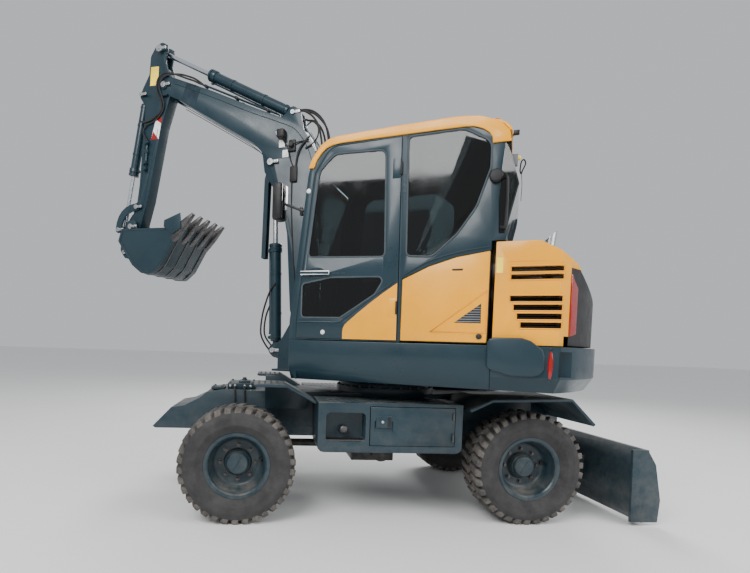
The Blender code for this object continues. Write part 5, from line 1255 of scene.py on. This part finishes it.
class EXCAVATOR_OT_cab(ExcavatorOperator, bpy.types.Operator):
    """Cab shell, roof, door, panes, seals, wiper, mirror and the seat inside"""
    bl_idname = "excavator.cab"
    bl_label = "Cab"

    def build(self, sizes):
        refine("cab_shell", MAT["slate"], 0.006)
        refine("cab_roof", MAT["amber"], 0.008, 3)
        refine("cab_door", MAT["slate"], 0.006)
        for node in ("windshield", "rear_glass", "left_rear_window", "right_window",
                     "door_window", "door_lower_window"):
            refine(node, MAT["glass"], 0.001, 1)
        refine("cab_controls", MAT["black"], 0.004)
        refine("left_mirror", MAT["black"], 0.006)
        self.seals()
        self.roof_rail()
        self.door_trim()
        self.fittings()
        self.rear_tackle()
        self.seat()

    def seals(self):
        seal("left_rear_window", "left_rear_window_seal", "upper")
        seal("door_window", "door_window_seal", "cab_door")
        seal("door_lower_window", "door_lower_window_seal", "cab_door")
        seal("right_window", "right_window_seal", "upper", highest=False)

    def fittings(self):
        """Grab bar, mirror face, lamps and the wiper."""
        face = block((0.604, 0.893, 2.252), (0.6085, 0.987, 2.508), 0.004)
        piece("mirror_glass", face, "upper", MAT["mirror"], UPPER)
        lamp = lathe([(0, 0), (0.040, 0), (0.044, 0.006), (0.044, 0.022), (0.036, 0.032),
                      (0, 0.036)], UPPER @ turned_to((0, 1, 0), (-0.915, 0.950, 2.430)), 32)
        piece("pillar_lamp", lamp, "upper", MAT["black"])
        stalk = tube([(0.480, 0.475, 2.640), (0.492, 0.475, 2.560), (0.500, 0.380, 2.200)], 0.007, 8)
        blade = tube([(0.502, 0.330, 2.380), (0.523, 0.395, 2.030)], 0.008, 8, False)
        piece("wiper", merged([stalk, blade]), "upper", MAT["black"], UPPER)
        bars = [tube([(-0.955, 0.948, 2.420), (-0.985, 0.972, 2.400), (-0.985, 0.972, 2.120),
                      (-0.955, 0.948, 2.100)], 0.010, 10)]
        piece("rear_grab_bar", merged(bars), "upper", MAT["black"], UPPER)
        for name, x in (("left", 0.80), ("right", 0.14)):
            body = block((0.345, x - 0.060, 2.715), (0.405, x + 0.060, 2.775), 0.010, 3)
            piece("roof_lamp_" + name, body, "upper", MAT["black"], UPPER)
            lens = block((0.4035, x - 0.048, 2.726), (0.409, x + 0.048, 2.765), 0.003)
            piece("roof_lamp_lens_" + name, lens, "upper", MAT["clear"], UPPER)

    def roof_rail(self):
        """Yellow rail along the cab's upper edge, down to the heads of both end pillars."""
        outer = [(0.409, 2.606), (0.386, 2.668), (0.345, 2.728), (0.300, 2.770), (0.240, 2.802),
                 (0.160, 2.816), (-0.014, 2.826), (-0.266, 2.832), (-0.538, 2.838), (-0.700, 2.842),
                 (-0.800, 2.830), (-0.880, 2.800), (-0.945, 2.760), (-0.985, 2.715), (-0.998, 2.646)]
        inner = [(-0.884, 2.646), (-0.880, 2.685), (-0.860, 2.715), (-0.820, 2.745), (-0.760, 2.768),
                 (-0.700, 2.772), (-0.538, 2.772), (-0.266, 2.770), (-0.014, 2.768), (0.160, 2.766),
                 (0.225, 2.758), (0.270, 2.742), (0.310, 2.708), (0.345, 2.660), (0.366, 2.606)]
        for name, low, high in (("left", 0.9485, 0.9625), ("right", -0.0125, 0.0015)):
            rail = bevelled(slab(outer + inner, low, high), 0.004, 3)
            piece("roof_rail_" + name, rail, "upper", MAT["amber"], UPPER)

    def door_trim(self):
        """Handle in its recess, lock slots, screw caps, hinge covers and the curved moulding."""
        handle = [block((0.212, 0.972, 1.816), (0.442, 0.986, 1.846), 0.006, 3),
                  block((0.224, 0.952, 1.822), (0.250, 0.975, 1.842), 0.003),
                  block((0.408, 0.952, 1.820), (0.434, 0.975, 1.842), 0.003)]
        piece("door_handle", merged(handle), "cab_door", MAT["plate"], UPPER)
        cup = lathe([(0, 0), (0.066, 0), (0.072, 0.002), (0.069, 0.004), (0, 0.0015)], steps=40)
        cup.transform(Matrix.Diagonal((1.0, 0.56, 1.0, 1.0)))
        cup.transform(turned_to((0, 1, 0), (0.322, 0.9542, 1.833)))
        slots = [block((x, 0.953, 1.820), (x + 0.026, 0.956, 1.835), 0.001, 1)
                 for x in (0.172, 0.140, 0.100)]
        piece("door_handle_recess", merged([cup] + slots), "cab_door", MAT["band"], UPPER)
        cap = lathe([(0, 0), (0.016, 0), (0.017, 0.003), (0.012, 0.007), (0, 0.008)],
                    turned_to((0, 1, 0), (0.257, 0.954, 1.393)), 28)
        piece("door_screw_cap", cap, "cab_door", MAT["white"], UPPER)
        other = lathe([(0, 0), (0.016, 0), (0.017, 0.003), (0.012, 0.007), (0, 0.008)],
                      turned_to((0, 1, 0), (0.405, 0.950, 2.443)), 28)
        piece("pillar_screw_cap", other, "upper", MAT["white"], UPPER)
        for name, z, paint_name in (("lower", 1.575, "amber"), ("upper", 2.545, "slate")):
            cover = block((-0.286, 0.953, z - 0.068), (-0.230, 0.9568, z + 0.068), 0.002, 2)
            piece("door_hinge_cover_" + name, cover, "cab_door", MAT[paint_name],
                  UPPER)
        knuckles = [lathe([(0, -0.045), (0.007, -0.045), (0.0075, -0.042), (0.0075, 0.042),
                           (0.007, 0.045), (0, 0.045)], Matrix.Translation((-0.2915, 0.958, z)), 20)
                    for z in (1.575, 2.545)]
        piece("door_hinge_knuckles", merged(knuckles), "cab_door", MAT["black"], UPPER)
        bead = [(0.466, 0.9545, 1.469), (0.300, 0.9545, 1.469), (0.139, 0.9545, 1.470),
                (0.086, 0.9545, 1.499), (-0.090, 0.9545, 1.632), (-0.275, 0.9545, 1.766)]
        piece("door_moulding", tube(bead, 0.005, 8), "cab_door", MAT["slate"], UPPER)

    def rear_tackle(self):
        """Lifting loops, lamp bracket, window latch with its knob, snap hook and strap."""
        loops = [tube([(-0.872, 0.80, 2.835), (-0.880, 0.80, 2.862), (-0.905, 0.80, 2.864),
                       (-0.918, 0.80, 2.835), (-0.905, 0.80, 2.808)], 0.004, 8),
                 tube([(-0.955, 0.80, 2.748), (-0.985, 0.80, 2.755), (-1.005, 0.80, 2.752)], 0.004, 8)]
        piece("roof_lifting_loops", merged(loops), "upper", MAT["orange"], UPPER)
        dark = [tube([(-0.950, 0.80, 2.730), (-0.985, 0.80, 2.728), (-1.010, 0.80, 2.748)], 0.007, 8),
                block((-1.042, 0.785, 2.742), (-1.004, 0.815, 2.770), 0.004),
                tube([(-1.070, 0.80, 2.500), (-1.088, 0.80, 2.545), (-1.078, 0.80, 2.572),
                      (-1.062, 0.80, 2.560), (-1.056, 0.80, 2.505), (-1.064, 0.80, 2.478)],
                     0.0045, 8, True, True),
                tube([(-1.066, 0.80, 2.480), (-1.072, 0.80, 2.400), (-1.070, 0.80, 2.300)], 0.002, 6)]
        piece("rear_lamp_bracket", merged(dark), "upper", MAT["black"], UPPER)
        latch = [block((-1.040, 0.780, 2.535), (-0.990, 0.820, 2.612), 0.005)]
        piece("rear_window_latch", merged(latch), "upper", MAT["grey"], UPPER)
        knob = lathe([(0, 0), (0.013, 0), (0.014, 0.010), (0.008, 0.018), (0, 0.018)],
                     turned_to((-1, 0, 0), (-1.040, 0.80, 2.588)), 20)
        piece("rear_latch_knob", knob, "upper", MAT["label"], UPPER)

    def seat(self):
        """Sprung seat with a crowned cushion and back, each padded."""
        y = 0.475
        base = block((-0.460, y - 0.170, 1.390), (-0.090, y + 0.170, 1.600), 0.010, 3)
        stand = piece("seat_stand", base, "upper", MAT["black"], UPPER)
        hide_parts("operator_seat")
        cushion = self.pad((-0.265, y, 1.670), (0.250, 0.245, 0.070))
        piece("seat_cushion", cushion, "upper", MAT["fabric"], UPPER)
        back = self.pad((0, 0, 0), (0.060, 0.225, 0.290))
        back.transform(Matrix.Translation((-0.545, y, 1.970)) @ Matrix.Rotation(math.radians(-8), 4, "Y"))
        piece("seat_back", back, "upper", MAT["fabric"], UPPER)

    def pad(self, centre, half):
        """A crowned cushion with pinched edges and two sewn channels."""
        bm = bmesh.new()
        bmesh.ops.create_cube(bm, size=2.0)
        bmesh.ops.subdivide_edges(bm, edges=bm.edges, cuts=15, use_grid_fill=True)
        for vertex in bm.verts:
            x, y, z = vertex.co
            crown = (1 - x ** 4) * (1 - y ** 4) if half[2] < half[0] else (1 - z ** 4) * (1 - y ** 4)
            channel = 0.10 * math.exp(-((abs(y) - 0.45) / 0.05) ** 2)
            squeeze = 0.62 + 0.38 * max(crown, 0) ** 0.5 - channel
            thin = 2 if half[2] < half[0] else 0
            shape = Vector((x, y, z))
            wide = [i for i in range(3) if i != thin]
            corner = 1 - 0.06 * abs(shape[wide[0]]) ** 6 * abs(shape[wide[1]]) ** 6
            for i in wide:
                shape[i] *= corner
            shape[thin] *= squeeze
            vertex.co = Vector(centre) + Vector(a * b for a, b in zip(shape, half))
        return bevelled(mesh_of(bm), 0.006, 2, 50)


# ---------------------------------------------------------------- upper structure
class EXCAVATOR_OT_bodywork(ExcavatorOperator, bpy.types.Operator):
    """Deck, skirts, counterweight, hood and side covers with their trim"""
    bl_idname = "excavator.bodywork"
    bl_label = "Bodywork"

    def build(self, sizes):
        refine("upper_frame", MAT["slate"], sizes.edge)
        for node in ("left_skirt", "right_skirt", "right_cover"):
            refine(node, MAT["slate"], 0.008, 3)
        refine("counterweight", MAT["slate"], 0.012, 3)
        refine("engine_block", MAT["cast"], 0.006)
        refine("engine_hood", MAT["amber"], 0.006, 3)
        refine("tail_panel", MAT["black"], 0.005)
        refine("left_side_panel", MAT["amber"], 0.006, 3)
        self.flash()
        self.counterweight_trim()
        self.hood_trim()
        self.exhaust()
        self.panel_trim()

    def flash(self):
        """Yellow flash along the foot of the door and the cab."""
        outline = [(0.102, 1.3465), (0.103, 1.400), (0.098, 1.428), (0.085, 1.452), (0.063, 1.473),
                   (-0.008, 1.535), (-0.100, 1.610), (-0.200, 1.685), (-0.2905, 1.748),
                   (-0.2965, 1.3465)]
        piece("door_flash", slab(outline, 0.9535, 0.9552), "cab_door", MAT["amber"],
              UPPER)
        moulding = [(-0.325, 0.952, 1.800), (-0.511, 0.952, 1.896), (-0.707, 0.952, 1.950),
                    (-0.895, 0.952, 1.978)]
        piece("waist_moulding", tube(moulding, 0.005, 8), "upper", MAT["slate"], UPPER)

    def counterweight_trim(self):
        """Raised cover panel, reflectors and bolts."""
        for name, sign in (("left", 1), ("right", -1)):
            face = sorted((sign * 0.9495, sign * 0.9780))
            cover = slab([(-0.906, 1.192), (-0.906, 1.344), (-0.917, 1.372), (-0.950, 1.381),
                          (-1.117, 1.382), (-1.171, 1.364), (-1.244, 1.309), (-1.256, 1.270),
                          (-1.256, 1.182), (-1.234, 1.149), (-1.190, 1.135), (-1.057, 1.133),
                          (-0.957, 1.161), (-0.920, 1.175)], *face)
            piece("counterweight_cover_" + name, bevelled(cover, 0.010, 3), "upper",
                  MAT["slate"], UPPER)
            oval = lathe([(0, 0), (0.013, 0), (0.015, 0.003), (0.011, 0.008), (0, 0.009)], steps=28)
            oval.transform(Matrix.Diagonal((1.0, 6.0, 1.0, 1.0)))
            oval.transform(turned_to((0, sign, 0), (-1.292, sign * 0.950, 1.212)))
            piece("tail_reflector_" + name, oval, "upper", MAT["red"], UPPER)
        places = [turned_to((0, sign, 0), (x, sign * 0.958, z))
                  for sign in (1, -1) for x in (-1.290,) for z in (1.318, 1.106)]
        piece("cover_bolts", copies(hex_bolt(0.007, 0.005), places, MAT["slate"]), "upper",
              MAT["slate"], UPPER)

    def hood_trim(self):
        """Tail lamps, louvre blades and blank label."""
        for name, sign in (("left", 1), ("right", -1)):
            lamp = self.tail_lens(sign)
            piece("tail_lamp_" + name, lamp, "engine_hood", MAT["red"], UPPER)
            face = sorted((sign * 0.9374, sign * 0.9386))
            label = slab([(-0.941, 1.908), (-0.981, 1.906), (-0.983, 1.806), (-0.943, 1.807)], *face)
            piece("hood_label_" + name, label, "engine_hood", MAT["label"], UPPER)
            rims = []
            for low_x, high_x, z, half in self.slots():
                y = sign * 0.9382
                low_x, high_x, half = low_x - 0.004, high_x + 0.004, half + 0.004
                rims.append(tube([(low_x, y, z - half), (high_x, y, z - half), (high_x, y, z + half),
                                  (low_x, y, z + half)], 0.0045, 8, False, True))
            piece("hood_slot_rims_" + name, merged(rims), "engine_hood", MAT["amber"],
                  UPPER)
            near, far = sorted((sign * 0.895, sign * 0.905))
            ribs = [block((-1.340, near, z - 0.004), (-1.030, far, z + 0.004), 0.002, 1)
                    for z in (1.838, 1.818, 1.786, 1.768, 1.647, 1.627, 1.590, 1.572, 1.533, 1.515,
                              1.476, 1.458)]
            piece("hood_grille_bars_" + name, merged(ribs), "engine_hood", MAT["black"],
                  UPPER)
        lines = [tube([(-1.020, s * 0.9375, 1.880), (-1.180, s * 0.9375, 1.880),
                       (-1.330, s * 0.9340, 1.872)], 0.004, 8) for s in (1, -1)]
        piece("hood_creases", merged(lines), "engine_hood", MAT["amber"], UPPER)

    def exhaust(self):
        """Steel tail pipe that leans back above the hood, with a slash-cut mouth."""
        low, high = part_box("exhaust_pipe")
        foot = UPPER.inverted() @ Vector(((low.x + high.x) / 2, (low.y + high.y) / 2, low.z))
        radius, mouth = 0.042, 0.365
        pipe = lathe([(0, 0), (radius, 0), (radius, 0.150), (radius, mouth), (radius - 0.003, mouth),
                      (radius - 0.003, 0.150), (radius - 0.003, 0.060), (0, 0.060)], steps=40)
        for vertex in pipe.vertices:
            if vertex.co.z > mouth - 0.01:
                vertex.co.z -= vertex.co.x
            vertex.co.x -= max(0.0, vertex.co.z - 0.150) ** 1.3 * 0.18
        made = piece("exhaust_tail_pipe", pipe, "engine_hood", MAT["steel"],
                     UPPER @ Matrix.Translation(foot))
        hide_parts("exhaust_pipe")

    def slots(self):
        """Cooling slots cut in each flank: low x, high x, centre height and half height."""
        upper = [(-1.345, -1.035, z, 0.0165) for z in (1.828, 1.777)]
        return upper + [(-1.345, -1.035 - 0.023 * k, 1.637 - 0.057 * k, 0.0185) for k in range(4)]

    def tail_lens(self, sign):
        """Tall lamp that follows the tail's curve, cut on a slant at its top."""
        bm = bmesh.new()
        rings = []
        for k in range(6):
            angle = math.radians(149.5 + 3.2 * k / 5)
            top = 1.805 - 0.085 * (k / 5) ** 0.8
            low = 1.400 + 0.020 * k / 5
            out, back = 1.6300, 1.6120
            rings.append([bm.verts.new((r * math.cos(angle), sign * r * math.sin(angle), z))
                          for r, z in ((out, low), (out, top), (back, top), (back, low))])
        for a, b in zip(rings, rings[1:]):
            for k in range(4):
                j = (k + 1) % 4
                bm.faces.new((a[k], a[j], b[j], b[k]))
        bm.faces.new(rings[0])
        bm.faces.new(rings[-1])
        return bevelled(mesh_of(bm), 0.003, 2)

    def panel_trim(self):
        """Round lock, triangle of louvres and raised field on the side panel."""
        knob = lathe([(0, 0), (0.017, 0), (0.019, 0.003), (0.019, 0.008), (0.013, 0.011),
                      (0, 0.011)], turned_to((0, 1, 0), (-0.852, 0.952, 1.385)), 28)
        piece("side_panel_lock", knob, "side_panel", MAT["black"], UPPER)
        ridge = tube([(-0.530, 0.9530, 1.412), (-0.892, 0.9530, 1.690), (-0.892, 0.9530, 1.412)],
                     0.006, 8, False, True)
        piece("side_panel_ridge", ridge, "side_panel", MAT["amber"], UPPER)
        grille = bevelled(slab([(-0.688, 1.475), (-0.858, 1.605), (-0.860, 1.473)], 0.9515, 0.9535),
                          0.001, 1)
        slit = block((-0.731, 0.9515, 1.825), (-0.661, 0.9535, 1.838), 0.003, 2)
        piece("side_panel_grille", merged([grille, slit]), "side_panel", MAT["black"],
              UPPER)
        slats = []
        for k in range(7):
            z = 1.480 + k * 0.016
            front = -0.702 - k * 0.0208
            slats.append(block((-0.856, 0.9530, z), (front, 0.9560, z + 0.006), 0.001, 1))
        piece("side_panel_louvres", merged(slats), "side_panel", MAT["grey"], UPPER)


# ---------------------------------------------------------------- stage
VIEW_FROM = Vector((0.888, 4.463, 1.289))      # from the point midway between the axles
VIEW_YAW, VIEW_PITCH, VIEW_ROLL = (math.radians(a) for a in (-5.126, 2.561, 1.848))
VIEW_LENS, VIEW_SHIFT = 24.05, (0.084, 0.1088)


class EXCAVATOR_OT_stage(ExcavatorOperator, bpy.types.Operator):
    """Pale floor, soft studio light and the camera"""
    bl_idname = "excavator.stage"
    bl_label = "Stage"

    def build(self, sizes):
        self.camera()
        self.floor(sizes)
        self.lights()

    def camera(self):
        ahead = Vector((math.sin(VIEW_YAW) * math.cos(VIEW_PITCH),
                        -math.cos(VIEW_YAW) * math.cos(VIEW_PITCH), -math.sin(VIEW_PITCH)))
        right = ahead.cross(Vector((0, 0, 1))).normalized()
        up = right.cross(ahead)
        c, s = math.cos(VIEW_ROLL), math.sin(VIEW_ROLL)
        right, up = right * c + up * s, up * c - right * s
        lens = bpy.data.cameras.new("camera")
        lens.lens = VIEW_LENS
        lens.sensor_width = 36.0
        lens.shift_x, lens.shift_y = VIEW_SHIFT
        view = bpy.data.objects.new("camera", lens)
        bpy.context.scene.collection.objects.link(view)
        turn = Matrix((right, up, -ahead)).transposed().to_4x4()
        view.matrix_world = Matrix.Translation(CHASSIS @ VIEW_FROM) @ turn
        bpy.context.scene.camera = view

    def floor(self, sizes):
        bm = bmesh.new()
        bmesh.ops.create_grid(bm, x_segments=8, y_segments=8, size=60)
        floor = object_of("floor", mesh_of(bm))
        made, tree, shader = shader_of("studio_floor")
        pale = tuple(sizes.floor)
        tone = mixed(tree, ranged(tree, noise(tree, 0.8, 4), 0.3, 0.7), tuple(c * 0.97 for c in pale),
                     pale)
        tree.links.new(tone, shader.inputs["Base Color"])
        shader.inputs["Roughness"].default_value = 0.7
        floor.data.materials.append(made)

    def lights(self):
        world = bpy.data.worlds.new("studio")
        world.use_nodes = True
        sky = world.node_tree.nodes["Background"]
        sky.inputs["Color"].default_value = (0.95, 0.97, 1.0, 1.0)
        sky.inputs["Strength"].default_value = 0.60
        bpy.context.scene.world = world
        for name, place, aim, size, power in (
                ("key", (4.5, 7.0, 7.5), (0, 0, 1.5), 5.0, 900),
                ("fill", (-6.5, 6.0, 5.0), (0, 0, 1.5), 6.0, 450),
                ("rim", (-3.0, -7.0, 7.0), (0, 0, 1.5), 5.0, 500)):
            lamp = bpy.data.lights.new(name, "AREA")
            lamp.shape = "SQUARE"
            lamp.size = size
            lamp.energy = power
            obj = bpy.data.objects.new(name, lamp)
            bpy.context.scene.collection.objects.link(obj)
            obj.location = place
            obj.rotation_euler = (Vector(aim) - Vector(place)).to_track_quat("-Z", "Y").to_euler()


# ---------------------------------------------------------------- panel and running
OPERATORS = (EXCAVATOR_OT_stage, EXCAVATOR_OT_tyres, EXCAVATOR_OT_rims, EXCAVATOR_OT_chassis,
             EXCAVATOR_OT_blade, EXCAVATOR_OT_cylinders, EXCAVATOR_OT_equipment,
             EXCAVATOR_OT_hoses, EXCAVATOR_OT_cab, EXCAVATOR_OT_bodywork)


class EXCAVATOR_PT_panel(bpy.types.Panel):
    """Sizes, colours and one button for each group of pieces"""
    bl_idname = "EXCAVATOR_PT_panel"
    bl_label = "Wheeled excavator"
    bl_space_type = "VIEW_3D"
    bl_region_type = "UI"
    bl_category = "Excavator"

    def draw(self, context):
        for name in ExcavatorSettings.__annotations__:
            self.layout.prop(context.scene.excavator, name)
        for operator in OPERATORS:
            self.layout.operator(operator.bl_idname)


def register():
    for cls in (ExcavatorSettings, *OPERATORS, EXCAVATOR_PT_panel):
        bpy.utils.register_class(cls)
    bpy.types.Scene.excavator = PointerProperty(type=ExcavatorSettings)


def unregister():
    del bpy.types.Scene.excavator
    for cls in (EXCAVATOR_PT_panel, *reversed(OPERATORS), ExcavatorSettings):
        bpy.utils.unregister_class(cls)


def main():
    register()
    make_materials(settings())
    for operator in OPERATORS:
        group, name = operator.bl_idname.split(".")
        getattr(getattr(bpy.ops, group), name)()


if __name__ == "__main__":
    main()
